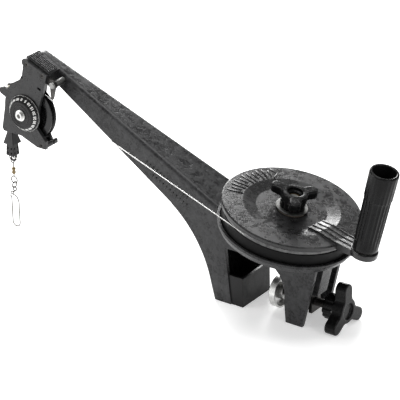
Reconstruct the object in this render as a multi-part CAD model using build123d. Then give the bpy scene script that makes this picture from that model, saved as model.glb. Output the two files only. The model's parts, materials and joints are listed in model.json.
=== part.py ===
from build123d import *
from math import acos, atan2, cos, hypot, pi, radians, sin, tan
import os

# A clamp-on, hand-cranked fishing downrigger. Millimetres, +Z up.
# The boom reaches towards -X, the clamp knob faces +X, and the line runs on the -Y side.
# The design frame has X = 0 under the centre of the spool's top face and Z = 0 at the feet.
# At the end everything moves together, so that the origin is at the bottom centre of the whole.

# ---- Spool stack: heights are along the leaning spool axis, from the upper flange's top face ----
SPOOL_TOP = 122.2          # height of the top face's centre above the ground
SPOOL_LEAN = 13.1          # lean of the axis towards the clamp, degrees
FLANGE_R = 75.0
FLANGE_THICK = 6.0
FLANGE_R_EDGE = 1.2        # bevel round the flange's rim
DISH_R = 38.0              # floor of the shallow dish in the flange's middle
DISH_EDGE_R = 52.0         # where its gentle slope ends
DISH_DEEP = 2.5
GROOVE_WIDE = 6.0          # the slot that the line is wound in
CORE_R = 47.0              # bottom of that slot
WOUND_R = 70.5             # outside of the wound line
SKIRT_R = 71.0             # lower part of the drum
SKIRT_LOW = -28.8
SKIRT_WALL = 3.0
HUB_R = 18.0
HUB_LOW = -29.3

TRAY_TOP = -24.0           # rim of the frame's round tray
TRAY_CLEAR = 1.2           # skirt to tray rim, radial
TRAY_LIP = 3.0
TRAY_FLOOR = -31.0
TRAY_UNDER = -36.0

SPINDLE_R = 4.76           # three-eighths inch bolt
RUN_FIT = 0.06             # radial clearance of a running fit
FREE_FIT = 0.2             # radial clearance of a hole that a bolt passes freely
SNUG = 0.02                # radial: a bolt or pin that doesn't turn in its hole
SEAT_GAP = 0.1             # gap between faces that only just touch
BUSH_R = 8.15
THREAD_PITCH = 1.5875      # sixteen threads to the inch, on the spindle and on the clamp screw

# ---- Crank arm and grip ----
CRANK_R = 101.0            # spindle to grip
CRANK_ANGLE = -8.3
ARM_WIDE = 24.0
ARM_START = 34.0
ARM_PROUD = 0.8
ARM_RIBS = 4
RIB_WIDE = 1.6
RIB_HIGH = 1.0
ARM_RAMP = 14.0            # length over which the arm rises out of the dish
BOSS_R = 14.6
BOSS_TOP = 7.5
BOSS_UNDER = 0.5
GRIP_LOW = 8.7
GRIP_LENGTH = 93.3
GRIP_FOOT_R = 13.4
GRIP_TOP_R = 15.5
GRIP_MOUTH_R = 12.3
GRIP_MOUTH_DEEP = 40.0
AXLE_R = 4.0
GRIP_NUT_HIGH = 5.0
NUT_BORE_R = 3.0
NUT_SEAT_R = 8.0           # flat seat for the nut under the boss
GRIP_BUSH_R = 6.2

# ---- Lobed knobs ----
LOBES = 3
BRAKE_KNOB_R = 27.5
BRAKE_KNOB_ANGLE = 184.5
BRAKE_LOBE_WIDE = 12.2
BRAKE_HUB_R = 13.5
BRAKE_HUB_LONG = 9.0
BRAKE_LOBE_THICK = 9.0
CLAMP_KNOB_R = 31.3
CLAMP_LOBE_WIDE = 15.0
CLAMP_HUB_R = 14.0
CLAMP_HUB_LONG = 12.5
CLAMP_LOBE_THICK = 12.6
INSERT_R = 7.5

# ---- Frame ----
BODY_WIDE = 53.6           # across Y, at the legs
BOOM_SLOPE = 24.0
BOOM_ROOT = (-78.0, 112.2)  # a point on the boom's top face, where it meets the tray
BOOM_TIP_X = -326.0
BOOM_TIP_DEEP = 15.0
BOOM_TIP_WIDE = 14.8       # across Y, at the tip
BOOM_ROUND = 5.5           # radius along the boom's top edges
BOOM_EDGE = 1.0            # radius along its lower edges
FRAME_WALL = 4.0
BOOM_CELLS = 5             # open cells under the boom
ROOF = 65.7                # underside of the body, over the gunwale
LEG_OUT = -81.4            # outer toe of the boom-side leg
LEG_IN = -60.2
LEG_IN_ROOF = -67.6
JAW_FACE = -45.4
JAW_HIGH = 34.2
JAW_WALL = 3.0
JAW_INSET = 1.2            # step from the leg's side to the jaw block's side
CLAMP_LEG_IN = 10.0
CLAMP_LEG_OUT = 30.8
CLAMP_LEG_WALL = 4.5
COLUMN_WIDE = 19.0         # rib that holds the nut plate
COLUMN_LOW = 31.0

# ---- Clamp ----
SCREW_HIGH = 19.5
SCREW_R = 4.76
PAD_FACE = -18.0
PAD_R = 18.5
PAD_THICK = 3.0
PAD_RIM = 8.0
PAD_HUB_R = 9.0
PAD_JOURNAL_R = 3.5
KNOB_BACK = 46.5
PLATE_X = 27.0             # nut plate
PLATE_THICK = 4.0
PLATE_WIDE = 17.0
PLATE_LOW = 8.5

# ---- Counter ----
LINE_D = 1.0
PULLEY_LINE_R = 29.1       # one turn of the pulley is 0.6 foot of line
PULLEY_RIM = 4.4           # the pulley's rims stand proud of the line
PULLEY_R = PULLEY_LINE_R + PULLEY_RIM
PULLEY_WIDE = 8.0
PULLEY_RIM_WALL = 0.8
PULLEY_Y = -24.0
PULLEY_X = -331.4
SIDE_PLATE = 4.0           # front plate
BACK_PLATE = 3.5
LUG_LONG = 4.5             # the lower bar's end, proud of the back plate
PLATE_GAP = 1.0            # pulley to front plate
SHAFT_R = 2.5
GEAR_MODULE = 0.9
PINION_TEETH = 8
WHEEL_TEETH = 24
RING_TEETH = 40
GEAR_THICK = 2.0
DIAL_R = 21.5
DIAL_FRONT_R = 15.2
DIAL_DEEP = 7.6
DIAL_WALL = 2.2
DIAL_SOCKET = 5.0          # across the flats
ROLLER_AT = (37.6, 40.3)   # from the pulley's axis, in X and Z
ROLLER_R = 4.0
ROLLER_PIN_R = 2.5
LOWER_BAR_AT = (20.5, -34.5)
LOWER_BAR = (13.0, 6.5)
POST_AT = (-32.0, 19.5)
POST_R = 2.0
CAP_SCREWS = [(5.0, 58.5), (26.5, 50.0)]
SCREW_SMALL_R = 1.5
MOUNT_BOLT_AT = (13.4, 46.5)
MOUNT_BOLT_R = 2.4

# ---- Terminal rig, hanging on the line ----
BOOT_TOP = 131.0
BOOT_PIVOT_DEEP = 1.5
BOOT_CONE_LONG = 17.0
BOOT_CONE_TOP = 6.0        # side of the square top
BOOT_CONE_FOOT = 14.8
BOOT_BLOCK_LONG = 14.5
BOOT_BLOCK_SIDE = 10.9
EYE_WIRE_R = 0.6
EYE_R = 4.1
UPPER_STEM = 6.0
BARREL_R = 2.3
BARREL_LONG = 8.5
LOWER_STEM = 3.0
LOWER_EYE_R = 4.2
LINK_R = 3.6
SNAP_EYE_R = 2.6
SNAP_WIDE = 10.3
SNAP_LOW = 9.5
SNAP_WIRE_R = 0.6

SPOOL = Location((0, 0, SPOOL_TOP), (0, SPOOL_LEAN, 0))
LEAN = radians(SPOOL_LEAN)
GROOVE_TOP = -FLANGE_THICK
GROOVE_LOW = GROOVE_TOP - GROOVE_WIDE
LINE_S = (GROOVE_TOP + GROOVE_LOW) / 2
LINE_WOUND_R = WOUND_R + LINE_D / 2 + SEAT_GAP
PULLEY_S = LINE_S - PULLEY_LINE_R
TRAY_R = SKIRT_R + TRAY_CLEAR + TRAY_LIP
SLOPE = radians(BOOM_SLOPE)


def spool_point(across, side, along):
    """A point given along the leaning spool axis, in the design frame."""
    x = across * cos(LEAN) + along * sin(LEAN)
    z = SPOOL_TOP - across * sin(LEAN) + along * cos(LEAN)
    return (x, side, z)


PULLEY_Z = spool_point((PULLEY_X - PULLEY_S * sin(LEAN)) / cos(LEAN), 0, PULLEY_S)[2]
LINE_X = PULLEY_X - PULLEY_LINE_R
LINE_LEAD = 4.0            # straight run before the pulley
LINE_SWING = 50.0          # gentle bend between the spool and that run
FRONT_IN = PULLEY_Y - PULLEY_WIDE / 2 - PLATE_GAP
FRONT_OUT = FRONT_IN - SIDE_PLATE
BACK_IN = PULLEY_Y + PULLEY_WIDE / 2 + PLATE_GAP / 2
BACK_OUT = BACK_IN + BACK_PLATE


def rod(radius, low, high):
    return Pos(0, 0, low) * extrude(Circle(radius), high - low)


def tube(outer, inner, low, high):
    return Pos(0, 0, low) * extrude(Circle(outer) - Circle(inner), high - low)


def turned(points):
    """A solid of revolution about Z from (radius, height) points."""
    outline = make_face(Plane.XZ * Polyline(*points, close=True))
    return revolve(outline, Axis.Z)


def upright(face, y_near, y_far):
    """A face drawn in X and Z, made solid from one Y to another."""
    return extrude(Plane.XZ.offset(-y_far) * face, y_far - y_near)


def y_rod(radius, x, z, y_near, y_far):
    return upright(Pos(x, z) * Circle(radius), y_near, y_far)


def polygon(points):
    return make_face(Polyline(*points, close=True))


def hex_face(flats):
    return RegularPolygon(flats / 2, 6, major_radius=False)


def lobed_face(tip_radius, core_radius, lobe_wide, first_angle):
    """The outline of a knob with rounded lobes and hollow sides."""
    half = lobe_wide / 2
    face = Circle(core_radius)
    for lobe in range(LOBES):
        arm = Pos((tip_radius - half) / 2, 0) * Rectangle(tip_radius - half, lobe_wide)
        arm = arm + Pos(tip_radius - half, 0) * Circle(half)
        face = face + Rot(0, 0, first_angle + lobe * 360 / LOBES) * arm
    hollows = [v for v in face.vertices() if hypot(v.X, v.Y) < core_radius + 1]
    return fillet(hollows, lobe_wide * 0.45)


def gear_face(teeth, module, angle, inside=False):
    """Plain straight-sided teeth; a ring gear's hollow is the same outline, a little wider."""
    pitch = 2 * pi / teeth
    root = module * (teeth / 2 - 1.15)
    tip = module * (teeth / 2 + 0.75)
    root_wide = 0.56
    tip_wide = 0.20
    if inside:
        root = module * (teeth / 2 - 0.75)
        tip = module * (teeth / 2 + 1.15)
        root_wide = 0.80
        tip_wide = 0.46
    points = []
    for tooth in range(teeth):
        middle = radians(angle) + tooth * pitch
        for radius, share in ((root, -root_wide), (tip, -tip_wide), (tip, tip_wide), (root, root_wide)):
            turn = middle + share * pitch / 2
            points.append((radius * cos(turn), radius * sin(turn)))
    return polygon(points)


# ---------------------------------------------------------------- frame ----


def boom_top(x):
    return BOOM_ROOT[1] + (BOOM_ROOT[0] - x) * tan(SLOPE)


def half_width(x):
    share = (x - BOOM_TIP_X) / (BOOM_ROOT[0] - BOOM_TIP_X)
    share = min(max(share, -0.1), 1)
    return (BOOM_TIP_WIDE + share * (BODY_WIDE - BOOM_TIP_WIDE)) / 2


def plan_face(inset):
    """The body and boom seen from above, drawn in by a wall."""
    root = BOOM_ROOT[0]
    far = BOOM_TIP_X - 0.1 * (root - BOOM_TIP_X)
    tip = half_width(far) - inset
    body = BODY_WIDE / 2 - inset
    return polygon([(far, -tip), (root, -body), (90, -body), (90, body), (root, body), (far, tip)])


def tray_line(depth, x):
    """Height of a plane square to the spool axis, at one X."""
    return SPOOL_TOP + depth / cos(LEAN) - x * tan(LEAN)


def leg_edge(z):
    return CLAMP_LEG_OUT + z * tan(LEAN)


def tip_under():
    return (BOOM_TIP_X - BOOM_TIP_DEEP * sin(SLOPE), boom_top(BOOM_TIP_X) - BOOM_TIP_DEEP * cos(SLOPE))


KNEE = (-140.0, 96.0)      # the boom's lower edge starts to bend down into the leg
ANKLE = (-88.5, 26.0)      # the leg's outer edge runs straight from here to the toe


def side_face():
    """Outline of the boom, the body and both legs, seen from -Y."""
    tip = (BOOM_TIP_X, boom_top(BOOM_TIP_X))
    under = tip_under()
    nose = ((tip[0] + under[0]) / 2 - BOOM_TIP_DEEP / 2 * cos(SLOPE),
            (tip[1] + under[1]) / 2 + BOOM_TIP_DEEP / 2 * sin(SLOPE))
    deck = (TRAY_UNDER + TRAY_FLOOR) / 2
    right_z = (tray_line(deck, 0) - CLAMP_LEG_OUT * tan(LEAN)) / (1 + tan(LEAN) ** 2)
    right = (leg_edge(right_z), right_z)
    left = (BOOM_ROOT[0] + 8, tray_line(deck, BOOM_ROOT[0] + 8))
    arch = (CLAMP_LEG_IN - 2, 26.0)
    edges = [
        ThreePointArc(tip, nose, under),
        Line(under, KNEE),
        ThreePointArc(KNEE, (-104.5, 60.5), ANKLE),
        Line(ANKLE, (LEG_OUT, 0)),
        Line((LEG_OUT, 0), (LEG_IN, 0)),
        Line((LEG_IN, 0), (LEG_IN_ROOF, ROOF)),
        Line((LEG_IN_ROOF, ROOF), (-14.0, ROOF)),
        ThreePointArc((-14.0, ROOF), (1.5, 54.0), arch),
        Line(arch, (CLAMP_LEG_IN, 0)),
        Line((CLAMP_LEG_IN, 0), (CLAMP_LEG_OUT, 0)),
        Line((CLAMP_LEG_OUT, 0), right),
        Line(right, left),
        Line(left, BOOM_ROOT),
        Line(BOOM_ROOT, tip),
    ]
    return make_face(Curve() + edges)


def tray():
    """Round dish under the spool, with a thin rim."""
    shell = turned([(0, TRAY_UNDER), (TRAY_R - 9, TRAY_UNDER), (TRAY_R - 3, TRAY_UNDER + 3.2),
                    (TRAY_R, TRAY_TOP - 3), (TRAY_R, TRAY_TOP), (0, TRAY_TOP)])
    return SPOOL * shell


def tray_hollow():
    return SPOOL * rod(TRAY_R - TRAY_LIP, TRAY_FLOOR, 40)


def boom_hollow():
    """Open cells under the boom, between thin cross ribs."""
    first = BOOM_TIP_X + 12
    last = -112.0
    points = [(first, boom_top(first) - FRAME_WALL), (last, boom_top(last) - FRAME_WALL), (last, 40), (first, 40)]
    cells = extrude(Plane.XZ.offset(-60) * polygon(points), 120)
    cells = cells & extrude(plan_face(FRAME_WALL - 0.5), 260)
    step = (last - first) / BOOM_CELLS
    for rib in range(1, BOOM_CELLS):
        cells = cells - Pos(first + rib * step, 0, 130) * Box(3, 80, 300)
    return cells


def leg_hollow():
    """Hollow of the boom-side leg, open towards the gunwale."""
    half = BODY_WIDE / 2 - FRAME_WALL
    points = [(LEG_OUT + FRAME_WALL + 1, FRAME_WALL), (ANKLE[0] + FRAME_WALL, ANKLE[1]),
              (-97.0, ROOF - FRAME_WALL), (JAW_FACE, ROOF - FRAME_WALL), (JAW_FACE, FRAME_WALL)]
    return upright(polygon(points), -half, half)


def body_hollow():
    """Pocket in the roof over the gunwale, beside the spindle's boss."""
    half = BODY_WIDE / 2 - FRAME_WALL
    deep = TRAY_UNDER - FRAME_WALL
    points = [(LEG_IN_ROOF + 8, ROOF - 5), (LEG_IN_ROOF + 8, tray_line(deep, LEG_IN_ROOF + 8)),
              (-31, tray_line(deep, -31)), (-31, ROOF - 5)]
    pocket = upright(polygon(points), -half, half)
    return pocket - Pos((LEG_IN_ROOF - 23) / 2, 0, ROOF) * Box(60, FRAME_WALL, 80)


def channel():
    """Hollow of the clamp-side leg, open towards the knob, less the column in its middle."""
    half = BODY_WIDE / 2 - CLAMP_LEG_WALL
    deep = TRAY_UNDER - 2
    back = CLAMP_LEG_IN + CLAMP_LEG_WALL
    points = [(back, -1), (back - 1.8, 28), (back - 5, 50), (back - 5, tray_line(deep, back - 5)),
              (70, tray_line(deep, 70)), (70, -1)]
    hollow = upright(polygon(points), -half, half)
    middle = COLUMN_WIDE / 2
    column = upright(polygon([(0, COLUMN_LOW), (leg_edge(COLUMN_LOW), COLUMN_LOW), (leg_edge(100), 100), (0, 100)]),
                     -middle, middle)
    boss = Pos(0, 0, SCREW_HIGH) * (Rot(0, 90, 0) * rod(COLUMN_WIDE / 2, 0, PLATE_X - SEAT_GAP))
    return hollow - column - boss


def under_line(x):
    """Height of the boom's straight lower edge at one X."""
    tip = tip_under()
    return KNEE[1] + (x - KNEE[0]) * (KNEE[1] - tip[1]) / (KNEE[0] - tip[0])


def boom_section(x):
    """Upright section of the boom at one X, with rounded corners."""
    high = boom_top(x) - under_line(x)
    place = Plane(origin=(x, 0, under_line(x) + high / 2), x_dir=(0, 1, 0), z_dir=(1, 0, 0))
    block = Rectangle(2 * half_width(x), high)
    block = fillet(block.vertices().sort_by(Axis.Y)[-2:], BOOM_ROUND)
    return place * fillet(block.vertices().sort_by(Axis.Y)[:2], BOOM_EDGE)


def boom():
    return loft([boom_section(BOOM_TIP_X - 18), boom_section(BOOM_ROOT[0])])


def lower_body():
    """The body and legs, as wide as the plan, below the boom's rounded top."""
    keep = polygon([(KNEE[0] - 1, 0), (KNEE[0] - 1, KNEE[1] + 4), (BOOM_ROOT[0] - 12, boom_top(BOOM_ROOT[0]) - 13),
                    (BOOM_ROOT[0], boom_top(BOOM_ROOT[0]) - BOOM_ROUND), (BOOM_ROOT[0], 200), (90, 200), (90, 0)])
    return extrude(Plane.XZ.offset(-60) * keep, 120) & extrude(plan_face(0), 260)


def frame():
    profile = extrude(Plane.XZ.offset(-60) * side_face(), 120)
    blank = (boom() & profile) + (lower_body() & profile)
    body = blank + tray()
    body = body - tray_hollow() - boom_hollow() - leg_hollow() - body_hollow() - channel()
    body = body - SPOOL * rod(SPINDLE_R + FREE_FIT, -90, 0)
    body = body - SPOOL * rod(11, -90, -45)
    body = body - Pos(0, 0, SCREW_HIGH) * (Rot(0, 90, 0) * rod(SCREW_R + FREE_FIT, -5, 60))
    slot = Box(PLATE_THICK + 2 * SEAT_GAP, PLATE_WIDE + 2 * SEAT_GAP, 6)
    body = body - Pos(PLATE_X + PLATE_THICK / 2, 0, COLUMN_LOW) * slot
    roller_x = PULLEY_X + ROLLER_AT[0]
    body = body - y_rod(ROLLER_PIN_R + SNUG, roller_x, PULLEY_Z + ROLLER_AT[1], -30, -half_width(roller_x) + 8)
    bolt_x = PULLEY_X + MOUNT_BOLT_AT[0]
    body = body - y_rod(MOUNT_BOLT_R + SNUG, bolt_x, PULLEY_Z + MOUNT_BOLT_AT[1], -30, 0)
    return body


def fixed_jaw():
    """Hollow block, open on top, with two tongues that slide into the leg."""
    lean_in = (LEG_IN_ROOF - LEG_IN) / ROOF
    gap = FREE_FIT
    half = BODY_WIDE / 2 - JAW_INSET
    outline = [(LEG_IN + gap, 0), (JAW_FACE, 0), (JAW_FACE, JAW_HIGH), (LEG_IN + gap + JAW_HIGH * lean_in, JAW_HIGH)]
    block = upright(polygon(outline), -half, half)
    inside = half - JAW_WALL
    well = Pos(JAW_FACE - JAW_WALL - 30, 0, JAW_WALL + 30) * Box(60, 2 * inside, 60)
    block = block - well
    tongue_y = inside - JAW_WALL - 1
    back = LEG_OUT + FRAME_WALL + 2.5
    front = JAW_FACE - JAW_WALL / 2
    low = FRAME_WALL + 1
    for side in (-1, 1):
        tongue = Box(front - back, JAW_WALL, JAW_HIGH - 6 - low)
        block = block + Pos((front + back) / 2, side * tongue_y, (JAW_HIGH - 6 + low) / 2) * tongue
    return block


# ---------------------------------------------------------------- spool ----


def arm_side(raised):
    """Side view of the crank arm, out of the dish and up to the boss, its top raised a little for a rib."""
    rim_under = FLANGE_R_EDGE - FLANGE_THICK
    return polygon([(ARM_START, -DISH_DEEP - 1), (ARM_START, raised - DISH_DEEP + 0.5),
                    (ARM_START + ARM_RAMP, ARM_PROUD + raised), (FLANGE_R - 5, 2 * ARM_PROUD + raised),
                    (CRANK_R, BOSS_TOP - 1.8 + raised), (CRANK_R, BOSS_UNDER), (FLANGE_R + 3, rim_under),
                    (FLANGE_R - 3, rim_under)])


def spool_flange():
    """Upper flange, its shallow dish, the crank arm with ribs, and the arm's round boss."""
    edge = FLANGE_R_EDGE
    disc = turned([(BUSH_R + 0.05, -FLANGE_THICK), (BUSH_R + 0.05, -DISH_DEEP), (DISH_R, -DISH_DEEP),
                   (DISH_EDGE_R, 0), (FLANGE_R - edge, 0), (FLANGE_R, -edge), (FLANGE_R, edge - FLANGE_THICK),
                   (FLANGE_R - edge, -FLANGE_THICK)])
    crank = upright(arm_side(0), -ARM_WIDE / 2, ARM_WIDE / 2)
    pitch = (ARM_WIDE - RIB_WIDE) / (ARM_RIBS - 1)
    for rib in range(ARM_RIBS):
        y = -ARM_WIDE / 2 + rib * pitch
        crank = crank + upright(arm_side(RIB_HIGH), y, y + RIB_WIDE)
    boss = Pos(CRANK_R, 0, 0) * rod(BOSS_R, BOSS_UNDER, BOSS_TOP)
    crank = crank + fillet(boss.edges().filter_by(GeomType.CIRCLE), 1.2)
    crank = crank - Pos(CRANK_R, 0, 0) * rod(AXLE_R + SNUG, -20, 20)
    crank = crank - Pos(CRANK_R, 0, 0) * rod(NUT_SEAT_R, -20, BOSS_UNDER)
    whole = disc + Rot(0, 0, CRANK_ANGLE) * crank
    for place in flange_screw_places():
        whole = whole - place * rod(SCREW_SMALL_R, -FLANGE_THICK - 1, -DISH_DEEP - 1)
    return SPOOL * whole


def flange_screw_places():
    return [Rot(0, 0, 45 + 90 * turn) * Pos(HUB_R + 14, 0, 0) for turn in range(4)]


def spool_drum():
    """Core, lower skirt and hub of the drum, hollow from below."""
    roof = GROOVE_TOP - SKIRT_WALL
    under = GROOVE_LOW - SKIRT_WALL
    drum = turned([(BUSH_R + 0.05, GROOVE_TOP), (CORE_R, GROOVE_TOP), (CORE_R, GROOVE_LOW), (SKIRT_R, GROOVE_LOW),
                   (SKIRT_R, SKIRT_LOW), (SKIRT_R - SKIRT_WALL, SKIRT_LOW), (SKIRT_R - SKIRT_WALL, under),
                   (CORE_R - SKIRT_WALL, under), (CORE_R - SKIRT_WALL, roof), (HUB_R, roof), (HUB_R, HUB_LOW),
                   (BUSH_R + 0.05, HUB_LOW)])
    for place in flange_screw_places():
        drum = drum - place * rod(SCREW_SMALL_R + FREE_FIT, roof - 1, GROOVE_TOP + 1)
    return SPOOL * drum


def flange_screws():
    roof = GROOVE_TOP - SKIRT_WALL
    screw = rod(3.2, roof - 2.4, roof) + rod(SCREW_SMALL_R, roof - 1, -DISH_DEEP - 1.2)
    return SPOOL * Compound(children=[place * screw for place in flange_screw_places()])


def spool_bushing():
    return SPOOL * tube(BUSH_R, SPINDLE_R + RUN_FIT, HUB_LOW, -DISH_DEEP)


def wound_line():
    return SPOOL * tube(WOUND_R, CORE_R + SEAT_GAP, GROOVE_LOW + SEAT_GAP, GROOVE_TOP - SEAT_GAP)


def spindle_bolt():
    head = Pos(0, 0, -52) * extrude(hex_face(14.3), 6.8)
    return SPOOL * (head + rod(SPINDLE_R, -50, 12.5))


def thrust_washer():
    return SPOOL * tube(HUB_R - 1, SPINDLE_R + FREE_FIT, TRAY_FLOOR, HUB_LOW - SEAT_GAP)


BRAKE_WASHER_TOP = -DISH_DEEP + 1.4
PRESSURE_LOW = BRAKE_WASHER_TOP + SEAT_GAP
PRESSURE_TOP = PRESSURE_LOW + 1.6
KNOB_LOW = PRESSURE_TOP + SEAT_GAP
KNOB_TOP = KNOB_LOW + BRAKE_HUB_LONG + BRAKE_LOBE_THICK


def brake_washer():
    return SPOOL * tube(HUB_R - 2, SPINDLE_R + 1, -DISH_DEEP, BRAKE_WASHER_TOP)


def pressure_washer():
    return SPOOL * tube(HUB_R - 1, SPINDLE_R + RUN_FIT, PRESSURE_LOW, PRESSURE_TOP)


def lobed_knob(tip_radius, lobe_wide, hub_radius, hub_long, lobe_thick, first_angle, dimple_r, dimple_deep):
    """Knob with its hub's face at height 0 and its lobes on top."""
    lobes = extrude(lobed_face(tip_radius, hub_radius, lobe_wide, first_angle), lobe_thick)
    lobes = fillet(lobes.faces().sort_by(Axis.Z)[-1].edges(), 1.2)
    knob = Pos(0, 0, hub_long) * lobes + rod(hub_radius, 0, hub_long + 1)
    for rib in range(12):
        flute = Rot(0, 0, 15 + rib * 30) * Pos(hub_radius + 0.9, 0, 0) * rod(2.0, -1, hub_long - 0.5)
        knob = knob - flute
    knob = knob - rod(dimple_r, hub_long + lobe_thick - dimple_deep, hub_long + lobe_thick + 1)
    return knob - rod(INSERT_R, -1, hub_long + 3)


def brake_knob():
    knob = lobed_knob(BRAKE_KNOB_R, BRAKE_LOBE_WIDE, BRAKE_HUB_R, BRAKE_HUB_LONG, BRAKE_LOBE_THICK,
                      BRAKE_KNOB_ANGLE, 8.5, 3.5)
    knob = knob - rod(SPINDLE_R + 1, 0, BRAKE_HUB_LONG + 6)
    return SPOOL * (Pos(0, 0, KNOB_LOW) * knob)


def brake_insert():
    return SPOOL * tube(INSERT_R, SPINDLE_R + RUN_FIT, KNOB_LOW, KNOB_LOW + BRAKE_HUB_LONG + 3)


def at_crank(solid):
    return SPOOL * (Rot(0, 0, CRANK_ANGLE) * (Pos(CRANK_R, 0, 0) * solid))


GRIP_TOP = GRIP_LOW + GRIP_LENGTH
MOUTH_FLOOR = GRIP_TOP - GRIP_MOUTH_DEEP


def grip():
    """Hollow handle, open on top, waisted below its smooth upper third."""
    shoulder = GRIP_LOW + 0.66 * GRIP_LENGTH
    mouth = GRIP_MOUTH_R
    return at_crank(turned([(GRIP_BUSH_R, GRIP_LOW), (GRIP_FOOT_R - 0.8, GRIP_LOW), (GRIP_FOOT_R, GRIP_LOW + 0.8),
                            (GRIP_FOOT_R + 0.9, shoulder), (GRIP_FOOT_R + 1.5, shoulder + 1.5),
                            (GRIP_TOP_R, GRIP_TOP - 1), (GRIP_TOP_R - 1, GRIP_TOP), (mouth + 0.6, GRIP_TOP),
                            (mouth, GRIP_TOP - 0.8), (mouth, MOUTH_FLOOR), (GRIP_BUSH_R, MOUTH_FLOOR)]))


def grip_bushing():
    return at_crank(tube(GRIP_BUSH_R, AXLE_R + RUN_FIT, GRIP_LOW, MOUTH_FLOOR))


def grip_washer():
    return at_crank(tube(11, AXLE_R + FREE_FIT, BOSS_TOP, GRIP_LOW - SEAT_GAP))


def grip_axle():
    head = rod(7, MOUTH_FLOOR + 0.3, MOUTH_FLOOR + 4.8) - Pos(0, 0, MOUTH_FLOOR + 2.5) * extrude(hex_face(5), 4)
    nut_end = rod(NUT_BORE_R, BOSS_UNDER - GRIP_NUT_HIGH - 1.5, 0)
    return at_crank(head + rod(AXLE_R, BOSS_UNDER, MOUTH_FLOOR + 1) + nut_end)


def grip_nut():
    nut = Pos(0, 0, BOSS_UNDER - GRIP_NUT_HIGH) * extrude(hex_face(11), GRIP_NUT_HIGH)
    return at_crank(nut - rod(NUT_BORE_R + SNUG, -30, 10))


# ---------------------------------------------------------------- clamp ----

CLAMP = Location((0, 0, SCREW_HIGH), (0, 90, 0))


def nut_plate():
    high = COLUMN_LOW + 2.5
    plate = Pos(PLATE_X + PLATE_THICK / 2, 0, (PLATE_LOW + high) / 2) * Box(PLATE_THICK, PLATE_WIDE, high - PLATE_LOW)
    return plate - CLAMP * rod(SCREW_R + RUN_FIT, 0, 60)


def clamp_pad():
    """Round steel cup that bears on the gunwale, with a socket for the screw's end."""
    cup = turned([(0, PAD_FACE), (PAD_R - 1, PAD_FACE), (PAD_R, PAD_FACE + 1), (PAD_R, PAD_FACE + PAD_RIM),
                  (PAD_R - 2, PAD_FACE + PAD_RIM), (PAD_R - 2, PAD_FACE + PAD_THICK), (PAD_HUB_R, PAD_FACE + PAD_THICK),
                  (PAD_HUB_R - 1, PAD_FACE + PAD_RIM + 3), (0, PAD_FACE + PAD_RIM + 3)])
    return CLAMP * (cup - rod(PAD_JOURNAL_R + RUN_FIT, PAD_FACE + PAD_THICK - 1, PAD_FACE + 20))


def clamp_screw():
    start = PAD_FACE + PAD_RIM + 3 + 0.4
    end = KNOB_BACK + CLAMP_HUB_LONG + 2
    shank = rod(SCREW_R, start, end)
    return CLAMP * (shank + rod(PAD_JOURNAL_R, PAD_FACE + PAD_THICK - 0.7, start))


def clamp_knob():
    knob = lobed_knob(CLAMP_KNOB_R, CLAMP_LOBE_WIDE, CLAMP_HUB_R, CLAMP_HUB_LONG, CLAMP_LOBE_THICK, 180, 9.0, 2.5)
    return CLAMP * (Pos(0, 0, KNOB_BACK) * knob)


def clamp_insert():
    return CLAMP * tube(INSERT_R, SCREW_R + SNUG, KNOB_BACK, KNOB_BACK + CLAMP_HUB_LONG + 3)


# -------------------------------------------------------------- counter ----


def near_axle(face):
    """Moves a face drawn about the pulley's axis to its place."""
    return Pos(PULLEY_X, PULLEY_Z) * face


IDLER_UP = GEAR_MODULE * (PINION_TEETH + WHEEL_TEETH) / 2
JOURNAL_R = 4.4


def front_face():
    """Outline of the counter's front plate, about the pulley's axis."""
    foot = LOWER_BAR_AT[1] - LOWER_BAR[1] / 2
    side = LOWER_BAR_AT[0] + LOWER_BAR[0] / 2
    plate = polygon([(1.5, 64.5), (33.0, 51.5), (29.6, 40.0), (24.5, 24.6), (19.5, 10.0), (15.0, -14.0), (side, -28.5),
                     (side, foot), (side - 12, foot), (-8.0, -29.0), (-33.0, -29.0), (-34.5, -25.0), (-27.5, 10.0),
                     (-26.0, 22.0), (-16.0, 32.5), (-6.0, 38.5), (-2.2, 44.5)])
    plate = plate + Pos(3.4, 60.3) * Circle(5)
    ear = make_hull([Pos(*POST_AT) * Circle(4.2).edge(), Pos(-20, 14) * Circle(4.2).edge()])
    return plate + ear


def gear_pocket():
    """Room for the reduction wheel in the front plate's inner face."""
    reach = GEAR_MODULE * (WHEEL_TEETH / 2 + 1) + 0.4
    pinion = GEAR_MODULE * (PINION_TEETH / 2 + 1) + 0.4
    face = Pos(0, IDLER_UP) * Circle(reach) + Circle(pinion)
    return upright(near_axle(face), FRONT_IN - GEAR_THICK - 0.4, FRONT_IN + 1)


def counter_front_plate():
    plate = upright(near_axle(front_face()), FRONT_OUT, FRONT_IN)
    plate = plate - gear_pocket()
    plate = plate - y_rod(JOURNAL_R + RUN_FIT, PULLEY_X, PULLEY_Z + IDLER_UP, -60, 0)
    plate = plate - y_rod(SHAFT_R + FREE_FIT, PULLEY_X, PULLEY_Z, -60, 0)
    for x, z in small_screw_places():
        plate = plate - y_rod(SCREW_SMALL_R, x, z, -60, 0)
        plate = plate - y_rod(2.9, x, z, FRONT_OUT - 1, FRONT_OUT + 2.2)
    slots = [(-1.0, 41.5), (21.5, 33.5)]
    for x, z in slots:
        slot = Pos(x, z) * (Rot(0, 0, -BOOM_SLOPE) * Rectangle(5, 2.4))
        plate = plate - upright(near_axle(slot), -60, 0)
    return plate


def small_screw_places():
    spots = CAP_SCREWS + [LOWER_BAR_AT]
    return [(PULLEY_X + x, PULLEY_Z + z) for x, z in spots]


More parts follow.
